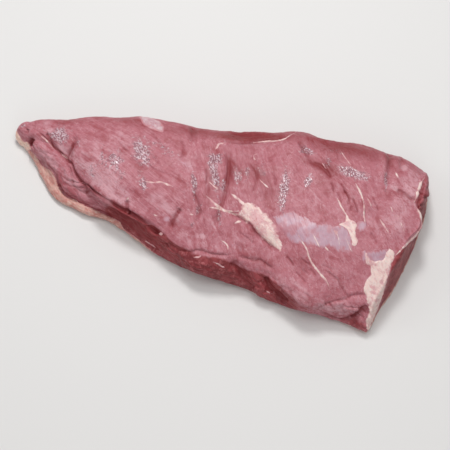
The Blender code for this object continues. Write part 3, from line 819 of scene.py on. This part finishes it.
def blendValue(tree, share, a, b):
    return addNode(tree, "Mix", {"data_type": "FLOAT"}, __0=share, __2=a, __3=b).outputs[0]


def layered(tree, colour, look, layers):
    # Tones laid over a colour in turn: value, its low and high, the share at each, and the tone.
    for value, low, high, atLow, atHigh, tone in layers:
        colour = blendColour(tree, remap(tree, value, low, high, atLow, atHigh), colour, look[tone])
    return colour


def bumpOf(tree, height, distance, **others):
    return addNode(tree, "Bump", Distance=distance, Height=height, **others).outputs[0]


# Tones of the lean. The shade tone is painted shade; glintPale and glintDark are painted glint specks.
leanLook = {
    "base": (0.445, 0.158, 0.190),
    "deep": (0.31, 0.066, 0.080),
    "pale": (0.60, 0.330, 0.370),
    "lilac": (0.56, 0.35, 0.42),
    "shade": (0.21, 0.024, 0.028),
    "fleck": (0.74, 0.50, 0.49),
    "glintPale": (0.62, 0.53, 0.575),
    "glintDark": (0.22, 0.105, 0.13),
    "raw": (0.285, 0.047, 0.053),
    "rawDeep": (0.175, 0.018, 0.021),
    "rawPale": (0.46, 0.135, 0.14),
    "grainTurns": (-24, -58),
    "bump": 0.0006,
    "glintBump": 0.0005,
    "shader": {"Coat Roughness": 0.09, "Coat IOR": 1.6, "Subsurface Weight": 0.10, "Subsurface Scale": 0.003,
               "Subsurface Radius": (1.0, 0.35, 0.3), "IOR": 1.38, "Specular IOR Level": 0.4},
}


def leanMaterial():
    # Red meat with grain, pale film, raw flesh, painted shade and painted glints, each where its share is
    # high.
    material, tree = newMaterial("lean_meat")
    look, where = leanLook, objectPlace(tree)
    film, dark, lilac = channels(tree, "tones")
    wetAndGlint, steep, raw = channels(tree, "finish")

    def strands(length, width, detail=3.0):
        flat, upright = (grainNoise(tree, where, turn, length, width, detail) for turn in look["grainTurns"])
        return blendValue(tree, steep, flat, upright)

    coarse, fibre = strands(0.026, 0.0030), strands(0.022, 0.0013, 2.0)
    veins, drift = strands(0.032, 0.0046, 2.0), strands(0.034, 0.0085)
    mottle, speckle = plainNoise(tree, where, 0.011, 4.0, 0.6, 0.6), plainNoise(tree, where, 0.0012, 2.0, 0.7)
    stipple = plainNoise(tree, where, 0.0065, 3.0, 0.6, 0.8)
    patchy = times(tree, plus(tree, drift, mottle), 0.5)
    filmEdge = unevenly(tree, unevenly(tree, film, patchy, 3.2), coarse, 1.1)
    colour = layered(tree, look["base"], look, (
        (patchy, 0.36, 0.50, 0.75, 0.0, "deep"),
        (coarse, 0.30, 0.50, 0.5, 0.0, "deep"),
        (filmEdge, 0.2, 1.1, 0.0, 0.85, "pale"),
        (fibre, 0.54, 0.72, 0.0, 0.16, "pale"),
        (fibre, 0.30, 0.46, 0.22, 0.0, "deep"),
        (offMiddle(tree, drift), 0.0, 0.012, 0.45, 0.0, "pale"),
        (stipple, 0.50, 0.66, 0.0, 0.22, "pale"),
        (stipple, 0.36, 0.48, 0.25, 0.0, "deep"),
        (unevenly(tree, lilac, coarse, 0.7), 0.15, 0.8, 0.0, 0.8, "lilac"),
        (offMiddle(tree, veins), 0.0, 0.015, 0.6, 0.0, "deep"),
        (speckle, 0.64, 0.74, 0.0, 0.4, "fleck"),
    ))
    clump, crag = (plainNoise(tree, where, *sizes, 0.6, 0.8) for sizes in ((0.0045, 2.0), (0.010, 3.0)))
    flesh = layered(tree, look["rawDeep"], look, (
        (crag, 0.40, 0.58, 0.0, 1.0, "raw"),
        (clump, 0.54, 0.68, 0.0, 0.6, "rawPale"),
    ))
    rawEdge = unevenly(tree, raw, crag, 1.2)
    colour = blendColour(tree, remap(tree, rawEdge, 0.15, 0.75, 0.0, 0.9), colour, flesh)
    # Painted glints: pale highlight specks with dark ones between them, where two fine noises add up. The
    # same share weights a real glossy coat.
    glintZone = remap(tree, unevenly(tree, wetAndGlint, clump, 1.6), 0.25, 0.75)
    wetGrain, beads = strands(0.0036, 0.0014, 1.0), plainNoise(tree, where, 0.0011, 1.0, 0.5)
    specks = plus(tree, times(tree, wetGrain, 0.45), times(tree, beads, 0.55))
    glint = times(tree, glintZone, remap(tree, specks, 0.515, 0.55), clamp=True)
    gap = times(tree, glintZone, remap(tree, specks, 0.46, 0.515, 0.9, 0.0))
    colour = blendColour(tree, gap, colour, look["glintDark"])
    colour = blendColour(tree, times(tree, glint, 0.8), colour, look["glintPale"])
    # The dark share, painted shade and deeper red, blends towards the shade tone.
    colour = layered(tree, colour, look, [(dark, 0.0, 1.3, 0.0, 0.9, "shade")])
    height = plus(tree, times(tree, coarse, 0.9), times(tree, fibre, 0.5))
    bump = bumpOf(tree, height, look["bump"])
    ripple = bumpOf(tree, plainNoise(tree, where, 0.0016, 2.0, 0.6), look["glintBump"], Normal=bump)
    matt = plus(tree, 0.42, times(tree, mottle, 0.14))
    return shaded(material, {"Base Color": colour, "Roughness": matt, "Normal": bump, "Coat Normal": ripple,
                             "Coat Weight": glint, **look["shader"]})


def finishPiece(obj, material):
    obj.data.materials.append(material)
    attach(obj, "root")
    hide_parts("brisket")
    print("brisket:", obj.name, len(obj.data.polygons))


redMeat = leanMaterial()
for name, (seamLow, seamHigh) in lean["pieces"].items():
    finishPiece(makeLean(name, seamLow, seamHigh), redMeat)

# What shows in the photograph, for finding the stretch of skin under a place.
shownT, shownV = (steps[::3] for steps in leanGrid())
shownSkin, _ = loft(shownT, shownV)
shownX, shownY = seenAt(shownSkin)
shownSide = outward(shownSkin, True) @ viewAxes()[2] > -0.25


def windowOver(low, high, spacing, sides=(0.6, 13.4)):
    # The t and v steps, "spacing" mm apart, over the skin that shows in a box of the photograph.
    shows = shownSide & ((shownV > sides[0]) & (shownV < sides[1]))[None, :]
    shows &= (shownX > low[0]) & (shownX < high[0]) & (shownY > low[1]) & (shownY < high[1])
    rows, columns = np.flatnonzero(shows.any(axis=1)), np.flatnonzero(shows.any(axis=0))
    ends = [0, -1]
    return stepsBetween(*shownT[rows[ends]], *shownV[columns[ends]], spacing)


def stepsBetween(tLow, tHigh, vLow, vHigh, spacing):
    # Even t and v steps between their limits. Past endX the t steps start small, because the
    # surface turns there.
    power, endX, run = form["endStepPower"], form["endX"], form["endRun"]

    def unrolled(t):
        past = max(t - endX, 0)
        return t + max(run * (past / run) ** (1 / power) - past, 0)

    tLow, tHigh = unrolled(tLow), unrolled(tHigh)
    tSteps = np.linspace(tLow, tHigh, int((tHigh - tLow) / spacing) + 2)
    past = np.clip((tSteps - endX) / run, 0, 1)
    tSteps = np.where(past > 0, endX + run * past**power, tSteps)
    tLow, tHigh = tSteps[0], tSteps[-1]
    rough = np.arange(vLow, vHigh + 0.05, 0.05)
    middle = loft(np.linspace(tLow, tHigh, 5), rough)[0]
    length = np.linalg.norm(np.diff(middle, axis=1), axis=2).max(axis=0)
    along = np.concatenate([[0], np.cumsum(length)])
    vSteps = np.interp(np.linspace(0, along[-1], int(along[-1] / spacing) + 2), along, rough)
    return tSteps, vSteps


def slab(name, shape, lift, edge, cutoff, depth, lines=()):
    # The skin's window pushed out by "lift" mm, kept where that is above the cutoff, and closed by
    # the same surface "depth" mm further in and a rim between them. "edge" is 0 where it is thin.
    points, normal = shape["points"], shape["normal"]
    rows, columns = lift.shape
    quads = gridFaces(rows, columns, False)
    quads = quads[(lift.ravel()[quads] > cutoff).all(axis=1)]
    used, index = np.unique(quads, return_inverse=True)
    quads = index.reshape(-1, 4)
    top = (points + normal * lift[..., None]).reshape(-1, 3)[used]
    under = top - normal.reshape(-1, 3)[used] * depth
    top[:, 2], under[:, 2] = np.maximum(top[:, 2], 0.0), np.maximum(under[:, 2], 0.4)
    count = len(used)
    starts, ends = quads.ravel(), np.roll(quads, -1, axis=1).ravel()
    rim = ~np.isin(ends * count + starts, starts * count + ends)
    a, b = starts[rim], ends[rim]
    sides = np.stack([b, a, a + count, b + count], axis=1)
    obj = meshObject(name, np.concatenate([top, under]),
                     np.concatenate([quads, quads[:, ::-1] + count, sides]))
    pink = blobs(shape["px"], shape["py"], zones["pink"]) * shape["facing"]
    # The crease depth goes along for painted shade in the fat's creases.
    attributes = {"edge": (edge, shape["crease"] / 3, pink)}
    if lines:
        attributes["lines"] = (*lines, 0 * lift)
    for attribute, shares in attributes.items():
        flat = [np.clip(np.tile(share.ravel()[used], 2), 0, 1) for share in shares]
        colourAttribute(obj, attribute, flat)
    return obj


# Fat patches on the lean: an outline in pixels, how high the fat stands and how ragged its edge is.
fatPatches = {
    "fat_patch_middle": {"outline": [(224, 210.5), (233, 212.5), (240, 211), (243, 205), (247, 202),
        (253, 203.5), (260, 207.5), (268, 215), (273, 222), (277, 230), (280, 237), (282.5, 244),
        (281, 251.5), (277, 249.5), (272, 246.5), (263, 239), (256, 232), (252, 226), (246, 222), (240, 219),
        (232, 214.5)], "height": 0.45, "rise": 3.0, "ragged": 1.5, "lumpy": 0.15, "soft": 2.6},
    "fat_patch_second": {"outline": [(345.5, 214), (348, 215), (350.5, 219), (355, 221.5), (357, 226),
        (356, 231), (356, 236), (358, 241), (356.5, 246), (352, 245.5), (351, 240), (348.5, 233), (345, 228),
        (339, 225), (341, 222.5), (345, 221)], "height": 0.4, "rise": 1.8, "ragged": 0.5, "lumpy": 0.12,
        "soft": 1.3},
    "fat_patch_corner": {"outline": [(365, 252), (368, 253), (369.5, 258.5), (375, 260.5), (381, 259.5),
        (384.5, 256), (386, 251.5), (390, 249.5), (394, 252), (394, 258), (391.5, 264), (390, 272),
        (387, 282), (384, 292), (380.5, 303), (376, 314), (372, 324), (369, 331), (366, 327), (366, 319),
        (369, 313), (368.5, 306), (366.5, 299), (363.5, 292), (363, 287), (367, 279), (371, 273), (370, 267),
        (366, 264), (364, 257)], "height": 0.7, "rise": 2.0, "ragged": 1.0, "lumpy": 0.15, "soft": 1.3},
    "fat_patch_back": {"outline": [(139, 117), (146, 116), (152, 117.5), (159, 120.5), (163, 125),
        (164, 129), (162, 132), (155, 130.5), (148, 127.5), (143, 124)], "height": 0.4, "rise": 1.8,
        "ragged": 0.6, "lumpy": 0.15, "soft": 3.2},
    "fat_tip": {"outline": [(14, 118), (12, 128), (13, 138), (17, 146), (24, 151), (31, 150), (30.5, 146),
        (28, 142), (24, 141), (20.5, 137), (18, 132), (17, 127), (17.5, 122)], "height": 0.9, "rise": 1.6,
        "ragged": 0.4, "lumpy": 0.2, "soft": 1.4},
}
# Thin fat lines: half width in pixels, height in mm, and a path of places.
streaks = {
    "branchLeft": (1.5, 0.5, [(205, 195), (211, 200), (218, 206), (224, 210.5), (232, 213)]),
    "branchAcross": (1.2, 0.4, [(206, 207), (214, 208), (223, 210), (232, 211.5), (242, 211)]),
    "branchUpper": (1.4, 0.5, [(230, 193), (234, 196), (239, 200), (243, 204), (247, 206)]),
    "fatTag": (1.3, 0.4, [(234, 223.5), (238, 222), (242, 220.5)]),
    "secondUp": (1.0, 0.4, [(336, 196), (339, 202), (342, 208), (346, 214), (348, 218)]),
    "secondBranch": (1.0, 0.4, [(353.5, 180), (356, 184), (358.6, 189), (361, 194), (363, 200), (364, 207),
        (364, 215), (365, 222), (366, 228)]),
    "longStreak": (1.1, 0.4, [(294, 227), (299, 236), (303, 243), (307, 250), (309, 257), (312, 263),
        (317, 270), (323, 277), (327, 282), (329, 287), (330, 293)]),
    "longStreakSide": (0.8, 0.3, [(298, 233), (301, 240), (305, 246), (311, 251)]),
    "silverStreakA": (1.1, 0.35, [(312, 232), (315, 238), (318, 244), (320, 248)]),
    "silverStreakB": (1.0, 0.3, [(333, 229), (337, 234), (339, 241), (340, 250)]),
    "silverStreakC": (1.0, 0.3, [(344, 235), (347, 241), (350, 248), (352, 252)]),
    "silverStreakD": (0.9, 0.3, [(323, 243), (326, 248), (330, 252)]),
    "silverSpot": (2.6, 0.5, [(334, 230), (337, 234.5)]),
    "rightA": (0.9, 0.25, [(379, 217), (381, 221), (385, 227), (388, 232), (390, 237)]),
    "rightB": (0.7, 0.2, [(390, 205), (392, 210), (393, 215)]),
    "rightC": (0.7, 0.2, [(391, 218.5), (395, 216.5), (398, 216), (400, 221), (402, 226), (404, 231),
        (405, 236)]),
    "endFleckA": (0.8, 0.3, [(395, 172), (397, 175), (399, 179)]),
    "spotOnSilver": (1.6, 0.4, [(304, 218), (306, 220)]),
    "leftStreak": (1.2, 0.4, [(144, 181), (150, 182.5), (156, 182.5), (161, 182), (166, 184), (171, 186),
        (176, 188)]),
    "lowStreak": (0.8, 0.25, [(219, 239.5), (224, 242), (227, 245), (228, 249), (228.5, 253)]),
    "shortStreak": (1.0, 0.35, [(153.5, 214.5), (156, 215.5), (159, 216.5)]),
    "whiteDash": (0.9, 0.3, [(189, 214), (191, 214.5), (194, 215)]),
    "bead": (1.5, 0.5, [(126.5, 198.5), (129, 199)]),
    "lipBead": (1.6, 0.6, [(159, 233.5), (163, 234.5)]),
    "flankFleckA": (0.8, 0.4, [(192, 257), (196, 257.5), (199, 257), (202, 255)]),
    "flankFleckC": (0.8, 0.4, [(213, 262), (218, 264), (222, 266.5), (226, 267.5)]),
    "flankFleckE": (0.7, 0.35, [(265, 290.5), (270, 293), (274, 294.5)]),
    "flankFleckG": (0.7, 0.4, [(142, 239), (147, 242), (152, 245), (156, 248)]),
    "backCurl": (1.1, 0.4, [(215, 150), (217, 147), (219, 144), (223, 143), (226, 141)]),
    "backFoldLine": (0.8, 0.35, [(249, 143.5), (256, 142.5), (265, 141.5), (275, 141), (284, 139),
        (290, 135.5), (297, 132)]),
    "smallHook": (1.0, 0.35, [(258, 153.5), (254.5, 155), (254, 158), (257, 161)]),
    "hairline": (0.8, 0.3, [(259, 179), (264, 184), (270, 189)]),
    "flapEdge": (0.9, 0.3, [(39, 134), (43, 137.5), (47, 141), (51, 145.5), (55, 150)]),
    "flapEdgeLow": (1.1, 0.4, [(61, 153), (65, 156.5), (69, 160)]),
    "middleHair": (0.8, 0.25, [(208, 181), (214, 186), (219, 190)]),
    "whisker": (0.8, 0.25, [(366, 196), (370, 203), (372, 208)]),
    "finePair": (0.8, 0.25, [(322, 163), (327, 170)]),
    "fineRight": (0.8, 0.25, [(340, 150), (347, 160), (352, 166)]),
}
# Fat lines on the hidden back, as places (x, z) in mm.
backLines = {
    "a": (1.6, 0.4, [(150, 34), (138, 30), (124, 27), (112, 21)]),
    "b": (1.2, 0.35, [(126, 27), (118, 31), (108, 34)]),
    "c": (1.4, 0.4, [(84, 12), (72, 15), (58, 16), (47, 21), (40, 27)]),
    "d": (1.0, 0.3, [(60, 16), (50, 13), (42, 12)]),
    "e": (1.2, 0.35, [(22, 31), (10, 27), (-2, 25)]),
    "f": (1.4, 0.4, [(-14, 12), (-27, 14), (-40, 19), (-52, 21)]),
    "g": (1.0, 0.3, [(-60, 12), (-70, 15), (-82, 16)]),
    "h": (1.0, 0.3, [(-104, 22), (-114, 19), (-126, 17)]),
    "i": (1.0, 0.3, [(176, 14), (168, 19), (160, 21)]),
}
# The cream line where the torn end starts.
endLines = {
    "top": (1.6, 1.8, [(425, 177), (421, 183), (418.5, 190), (416.5, 197), (414, 203)]),
    "middle": (1.7, 1.8, [(415, 206), (419, 212.5), (422, 219), (422.5, 224), (420.5, 229)]),
    "low": (1.2, 1.4, [(421.5, 226), (418, 232), (415, 236), (408, 242.5), (401, 250), (394, 257)]),
}
silver = {
    "main": [(273, 217), (279, 216), (285, 213), (291, 211.5), (297, 214.5), (306, 217.5), (314, 222),
        (320, 224), (327, 224), (337, 226.5), (343, 223), (349, 230), (351, 237), (352, 246), (351, 252),
        (345, 251.5), (338, 252), (330, 247), (323, 248.5), (317, 247), (309, 245), (301, 244), (293, 243),
        (287, 237), (281, 229)],
    "small": [(357, 223), (362, 221), (367, 223), (366, 229), (360, 231), (357, 228)],
    "corner": [(362, 251), (370, 251.5), (379, 250.5), (389, 249.5), (390, 263), (381, 265), (370, 265),
        (362, 261)],
    "height": 0.12,
    "soft": 4.0,
    "window": ((264, 203), (390, 266), 0.5),
    "cutoff": -0.25,
    "depth": 0.5,
}
# Lines along the fat rim in front, pale ones and red ones, in the same form as the streaks.
rimLines = {
    "pale": {
        "a": (0.8, 0.4, [(35, 156), (40, 164), (45, 174), (50, 184), (55, 191)]),
        "b": (0.9, 0.5, [(43, 166), (49, 170), (54, 178), (58, 188), (64, 196), (72, 202)]),
        "c": (0.8, 0.4, [(52, 190), (60, 197), (70, 203), (82, 209), (95, 215), (110, 221)]),
        "d": (0.9, 0.5, [(66, 199), (76, 203), (88, 208), (100, 213), (114, 219)]),
        "e": (0.7, 0.4, [(46, 178), (50, 187), (56, 195), (66, 202)]),
    },
    "red": {
        "a": (0.6, 0.4, [(38, 163), (43, 172), (48, 182), (53, 190)]),
        "b": (0.6, 0.4, [(50, 187), (57, 193), (64, 198), (74, 204)]),
        "c": (0.7, 0.4, [(72, 206), (84, 211), (96, 217), (108, 223)]),
    },
}
# The fat cap underneath: its edge in front is read from the photograph, elsewhere it is a height.
fatCap = {
    "frontEdge": [(29, 149), (32.5, 152), (37.5, 157), (42, 164.5), (47, 167.5), (52.5, 170.5), (55.5, 176),
        (57.5, 182), (60, 187), (63.5, 192.5), (68, 196.5), (74, 198.5), (83, 203.5), (92, 207.5),
        (100, 211.5), (109, 215.5), (115, 218.5), (121, 222), (124, 228), (132, 234), (140, 240),
        (150, 248.5), (160, 259)],
    "beyond": [(150, 275), (90, 235), (45, 215), (20, 165)],
    "backHeight": 6.5,
    "frontHeight": 1.6,
    "endHeight": 4.5,
    "vSpan": (10.6, 18.2),
    "flatSpan": (13.2, 15.9),
    "height": 0.7,
    "spacing": 1.0,
    "tipShare": 1.3,
    "endShare": 0.3,
    "risesAt": (150, 195),
    "soft": 1.5,
    "cutoff": -0.5,
    "depth": 1.6,
}


# All patches: where they end as the skin turns away, mm between points, pixels round the outline,
# the lift where they are cut off and how deep they go.
patchForm = {"turning": (30.0, 0.08), "spacing": 0.45, "margin": 4, "cutoff": -0.5, "depth": 1.2}


def patchLift(shape, patch):
    # Height of a fat patch over the skin: it rises from its ragged outline to a lumpy top.
    points = shape["points"]
    inside = insideDistance(shape["px"], shape["py"], patch["outline"])
    steep, least = patchForm["turning"]
    inside = np.minimum(inside, steep * (shape["normal"] @ viewAxes()[2] + least))
    inside += patch["ragged"] * (cloud(points, 3.2, 31) + 0.4 * cloud(points, 1.3, 32))
    top = patch["height"] + patch["lumpy"] * (cloud(points, 4.2, 33) + 0.3 * cloud(points, 1.7, 34))
    lift = np.where(inside > 0, top * smoothStep(0, patch["rise"], inside), 0.5 * inside)
    return lift, inside / patch["soft"]


def makeFatPatches(materials):
    for name, patch in fatPatches.items():
        places, margin = np.array(patch["outline"]), patchForm["margin"]
        low, high = places.min(axis=0) - margin, places.max(axis=0) + margin
        shape = skin(*windowOver(low, high, patchForm["spacing"]))
        obj = slab(name, shape, *patchLift(shape, patch), patchForm["cutoff"], patchForm["depth"])
        finishPiece(obj, materials.get(name, materials["other"]))


# Where the lines are looked for: a box in pixels, mm between points and a span of corners; for the
# back, a span along the length, a span of corners and mm between points.
lineForm = {
    "marbling": ((0, 100), (450, 340), 0.5, (2.6, 12.4)),
    "endLine": ((385, 165), (440, 265), 0.4, (-1.0, 17.0)),
    "back": (-170.0, 190.0, 0.4, 4.6, 0.8),
    "leastFacing": 0.1,
    "endFacing": 0.62,
    "endLowest": 30,
    "cutoff": -0.25,
    "depth": 0.8,
}


def streakLift(shape, lines, leastFacing=lineForm["leastFacing"]):
    # The lines' ridges as the photograph shows them, only where the skin faces the camera.
    lift, edge = lineRidges(shape["points"], shape["px"], shape["py"], lines)
    return np.where(shape["facing"] > leastFacing, lift, -1.0), edge


def lineRidges(points, px, py, lines):
    # The highest of all the lines at each point: a low ridge that thins out to its ends. Returns
    # its height and how solid the fat is.
    waver, fray = cloud(points, 3.6, 41), cloud(points, 1.3, 42)
    lift, edge = np.full(px.shape, -1.0), np.zeros(px.shape)
    for width, height, path in lines.values():
        dist, share = lineDistance(px, py, smoothPath(path), 5.0)
        ends = smoothStep(-0.1, 0.35, np.minimum(share, 1 - share))
        wide = (0.65 + 0.9 * min(height, 0.5)) * width * ends * (1 + 0.5 * waver)
        wide = np.maximum(wide + 0.3 * fray, 0.05)
        body = 1 - (dist / wide) ** 2
        lift = np.maximum(lift, 0.45 * height * body)
        strong = (0.3 + 0.7 * ends) * (0.48 + 0.8 * min(height, 0.5)) * (0.75 + 0.5 * waver)
        edge = np.maximum(edge, strong * smoothStep(0.0, 1.0, body))
    return lift, edge


def makeStreaks(material):
    def finish(name, shape, lift, edge):
        obj = slab(name, shape, lift, edge, lineForm["cutoff"], lineForm["depth"])
        finishPiece(obj, material)

    shape = skin(*windowOver(*lineForm["marbling"]))
    finish("marbling", shape, *streakLift(shape, streaks))
    shape = skin(*windowOver(*lineForm["endLine"]))
    lift, edge = streakLift(shape, endLines, lineForm["endFacing"])
    lift = np.where(shape["points"][..., 2] > lineForm["endLowest"], lift, -1.0)
    finish("end_line", shape, lift, edge)
    shape = skin(*stepsBetween(*lineForm["back"]))
    x, _, z = np.moveaxis(shape["points"], -1, 0)
    finish("back_marbling", shape, *lineRidges(shape["points"], x, z, backLines))


def silverLift(shape):
    # A thin film that ends in threads along the grain.
    points = shape["points"]
    threads = 1.6 * cloud(alongGrain(points, -58, 9.0, 1.3), 1.0, 51) + 0.8 * cloud(points, 4.5, 52)
    lift, edge = np.full(points.shape[:2], -1.0), np.zeros(points.shape[:2])
    for name in ("main", "small", "corner"):
        inside = insideDistance(shape["px"], shape["py"], silver[name]) + 0.9 * threads
        film = silver["height"] * smoothStep(0, 1.5, inside)
        lift = np.maximum(lift, np.where(inside > 0, film, 0.3 * inside))
        edge = np.maximum(edge, inside / silver["soft"])
    return lift, edge


def makeSilverskin(material):
    shape = skin(*windowOver(*silver["window"]))
    obj = slab("silverskin", shape, *silverLift(shape), silver["cutoff"], silver["depth"])
    finishPiece(obj, material)


def capLift(shape):
    # The cap ends at a wandering height up the sides, and in front where the photograph shows it.
    points = shape["points"]
    wander = 1.6 * cloud(points, 14.0, 61) + 0.8 * cloud(points, 4.0, 62) + 0.4 * cloud(points, 1.6, 63)
    seen = insideDistance(shape["px"], shape["py"], fatCap["frontEdge"] + fatCap["beyond"])
    seen = seen * smoothStep(-0.3, 0.1, shape["facing"])
    front = shape["normal"][..., 1] < 0
    top = np.where(front, fatCap["frontHeight"], fatCap["backHeight"])
    top = top + (fatCap["endHeight"] - top) * smoothStep(*fatCap["risesAt"], points[..., 0])
    inside = np.maximum(top - points[..., 2] + wander, np.where(seen > 0, seen + 0.35 * wander, -2.0))
    lumpy = 0.3 * cloud(points, 6.0, 64) + 0.5 * cloud(alongGrain(points, -36, 14.0, 2.4), 1.0, 65)
    lift = (fatCap["height"] + lumpy) * smoothStep(0, 2.2, inside)
    return np.where(inside > 0, lift, 0.5 * inside), inside / fatCap["soft"]


def makeFatCap(material):
    endT = form["endX"] + form["endRun"] * fatCap["endShare"]
    tipT = form["tipX"] - form["tipBulge"] * fatCap["tipShare"]
    t, v = stepsBetween(tipT, endT, *fatCap["vSpan"], fatCap["spacing"])
    low, high = fatCap["flatSpan"]
    v = v[(v < low) | (v > high) | (np.arange(len(v)) % 3 == 0)]  # fewer columns on the flat underside
    shape = skin(t, v)
    lines = [streakLift(shape, rimLines[kind])[1] for kind in ("pale", "red")]
    obj = slab("fat_cap", shape, *capLift(shape), fatCap["cutoff"], fatCap["depth"], lines)
    finishPiece(obj, material)


fatLook = {
    "cream": (0.77, 0.57, 0.53),
    "pink": (0.64, 0.36, 0.37),
    "white": (0.80, 0.66, 0.62),
    "vein": (0.46, 0.15, 0.16),
    "thin": (0.50, 0.20, 0.225),
    "bump": 0.0003,
    "pinker": 0.0,
    "shader": {"Subsurface Weight": 0.15, "Subsurface Radius": (1.0, 0.5, 0.4), "Subsurface Scale": 0.0025,
               "IOR": 1.45},
}
# Other fats differ in tone: duller at the back, warm at the tip and painted lighter there as light on its
# shaded side, and pinker on the cap.
fatTones = {
    "beef_fat": {},
    "back_fat": {"cream": (0.57, 0.39, 0.42), "pink": (0.51, 0.30, 0.34), "white": (0.67, 0.53, 0.55)},
    # The tip's fat is warmer and painted lighter, standing in for light on its shaded side.
    "tip_fat_painted_light": {"cream": (0.82, 0.55, 0.46), "pink": (0.74, 0.42, 0.34), "white": (0.88, 0.70, 0.62)},
    "fat_cap": {"cream": (0.60, 0.34, 0.285), "pink": (0.50, 0.20, 0.17), "white": (0.74, 0.52, 0.44),
                "pinker": 0.05},
}


def fatMaterial(name):
    # Cream fat with pink and white mottling, and painted shade in the skin's creases. Where it is thin the
    # lean shows through.
    material, tree = newMaterial(name)
    look, where = dict(fatLook, **fatTones[name]), objectPlace(tree)
    edge, crease, pink = channels(tree, "edge")
    paleLine, redLine, _ = channels(tree, "lines")
    patches = plainNoise(tree, where, 0.009, 3.0, 0.55, 0.8)
    strands = grainNoise(tree, where, -42, 0.012, 0.0022)
    veins = plainNoise(tree, where, 0.0048, 2.0, 0.5, 1.8)
    grit = plainNoise(tree, where, 0.0016, 2.0, 0.6)
    blush = plus(tree, patches, times(tree, pink, 0.2))
    colour = layered(tree, look["cream"], look, (
        (blush, 0.50 - look["pinker"], 0.66 - look["pinker"], 0.0, 1.0, "pink"),
        (strands, 0.50, 0.68, 0.0, 0.65, "white"),
        (strands, 0.32, 0.46, 0.5, 0.0, "pink"),
    ))
    vein = times(tree, remap(tree, offMiddle(tree, veins), 0.0, 0.035, 1.0, 0.0),
                 plus(tree, 0.1, times(tree, pink, 0.75)))
    colour = blendColour(tree, vein, colour, look["vein"])
    # Painted shade: the crease share darkens the fat with the vein tone; the pale and red rim lines are the
    # fat's own colour.
    for share, strength, tone in ((crease, 0.7, "vein"), (paleLine, 0.5, "white"), (redLine, 0.6, "vein")):
        colour = blendColour(tree, times(tree, share, strength), colour, look[tone])
    solid = unevenly(tree, edge, strands, 0.8)
    colour = layered(tree, colour, look, [(solid, 0.05, 0.75, 1.0, 0.0, "thin")])
    bump = bumpOf(tree, plus(tree, strands, times(tree, grit, 0.4)), look["bump"])
    return shaded(material, {"Base Color": colour, "Roughness": remap(tree, grit, 0.3, 0.7, 0.36, 0.5),
                             "Normal": bump, **look["shader"]})


silverLook = {
    "film": (0.47, 0.27, 0.335),
    "white": (0.58, 0.41, 0.47),
    "red": (0.45, 0.17, 0.205),
    "bump": 0.0003,
    "shader": {"Roughness": 0.38, "Subsurface Weight": 0.1, "Subsurface Radius": (1.0, 0.5, 0.5),
               "Subsurface Scale": 0.003},
}


def silverMaterial():
    # A lilac film with white threads, which lets the red through where it is thin.
    material, tree = newMaterial("silverskin")
    look, where = silverLook, objectPlace(tree)
    edge, _, pink = channels(tree, "edge")
    threads = grainNoise(tree, where, -58, 0.014, 0.0015, 2.0)
    blush = plus(tree, plainNoise(tree, where, 0.009, 3.0, 0.5), times(tree, pink, 0.14))
    colour = layered(tree, look["film"], look, (
        (blush, 0.48, 0.66, 0.0, 0.8, "red"),
        (threads, 0.52, 0.72, 0.0, 0.35, "white"),
        (unevenly(tree, edge, threads, 1.6), 0.0, 0.8, 1.0, 0.0, "red"),
    ))
    bump = bumpOf(tree, threads, look["bump"], Strength=0.6)
    return shaded(material, {"Base Color": colour, "Normal": bump, **look["shader"]})


hardFat = fatMaterial("beef_fat")
makeFatPatches({"other": hardFat, "fat_patch_back": fatMaterial("back_fat"),
                "fat_tip": fatMaterial("tip_fat_painted_light")})
makeStreaks(hardFat)
makeSilverskin(silverMaterial())
makeFatCap(fatMaterial("fat_cap"))

# Floor, lights and camera. A soft light has its place, what it aims at, its size and its watts.
stage = {
    "floorHalf": 4.0,
    "floorColour": (0.70, 0.69, 0.68),
    "floorRoughness": 0.75,
    "worldStrength": 0.38,
    "lights": {
        "keyLight": ((-0.23, 0.69, 1.39), (0.0, 0.0, 0.0), 0.36, 12.0),
        "overhead": ((0.15, 0.10, 1.30), (0.0, 0.0, 0.0), 0.8, 4.5),
        "leftFill": ((-1.1, -0.3, 0.8), (0.0, 0.0, 0.0), 0.6, 2.0),
        "frontFill": ((0.45, -1.0, 0.6), (0.1, 0.0, 0.0), 0.6, 1.7),
    },
}


def makeStage():
    half = stage["floorHalf"]
    corners = np.array([(-half, -half, 0), (half, -half, 0), (half, half, 0), (-half, half, 0)])
    floor = meshObject("floor", corners / mm, [(0, 1, 2, 3)])
    look = {"Base Color": (*stage["floorColour"], 1.0), "Roughness": stage["floorRoughness"]}
    floor.data.materials.append(shaded(newMaterial("pale_floor")[0], look))
    world = bpy.data.worlds.new("studio")
    world.use_nodes = True
    background = world.node_tree.nodes["Background"]
    background.inputs["Color"].default_value = (1.0, 1.0, 1.0, 1.0)
    background.inputs["Strength"].default_value = stage["worldStrength"]
    bpy.context.scene.world = world


def softbox(name, place, aim, size, power):
    data = bpy.data.lights.new(name, "AREA")
    data.shape, data.size, data.energy = "SQUARE", size, power
    obj = bpy.data.objects.new(name, data)
    obj.location = place
    obj.rotation_euler = (Vector(aim) - Vector(place)).to_track_quat("-Z", "Y").to_euler()
    bpy.context.scene.collection.objects.link(obj)


def makeCamera():
    data = bpy.data.cameras.new("camera")
    data.sensor_width = photo["sensorWidth"]
    data.lens = photo["pixelsPerRadian"] * data.sensor_width / (2 * photo["centre"])
    camera = bpy.data.objects.new("camera", data)
    back = Vector(viewAxes()[2])
    camera.location = Vector(photo["target"]) + back * photo["distance"]
    camera.rotation_euler = back.to_track_quat("Z", "Y").to_euler()
    bpy.context.scene.collection.objects.link(camera)
    bpy.context.scene.camera = camera


makeStage()
for name, settings in stage["lights"].items():
    softbox(name, *settings)
makeCamera()
bpy.context.scene.view_settings.view_transform = "Standard"
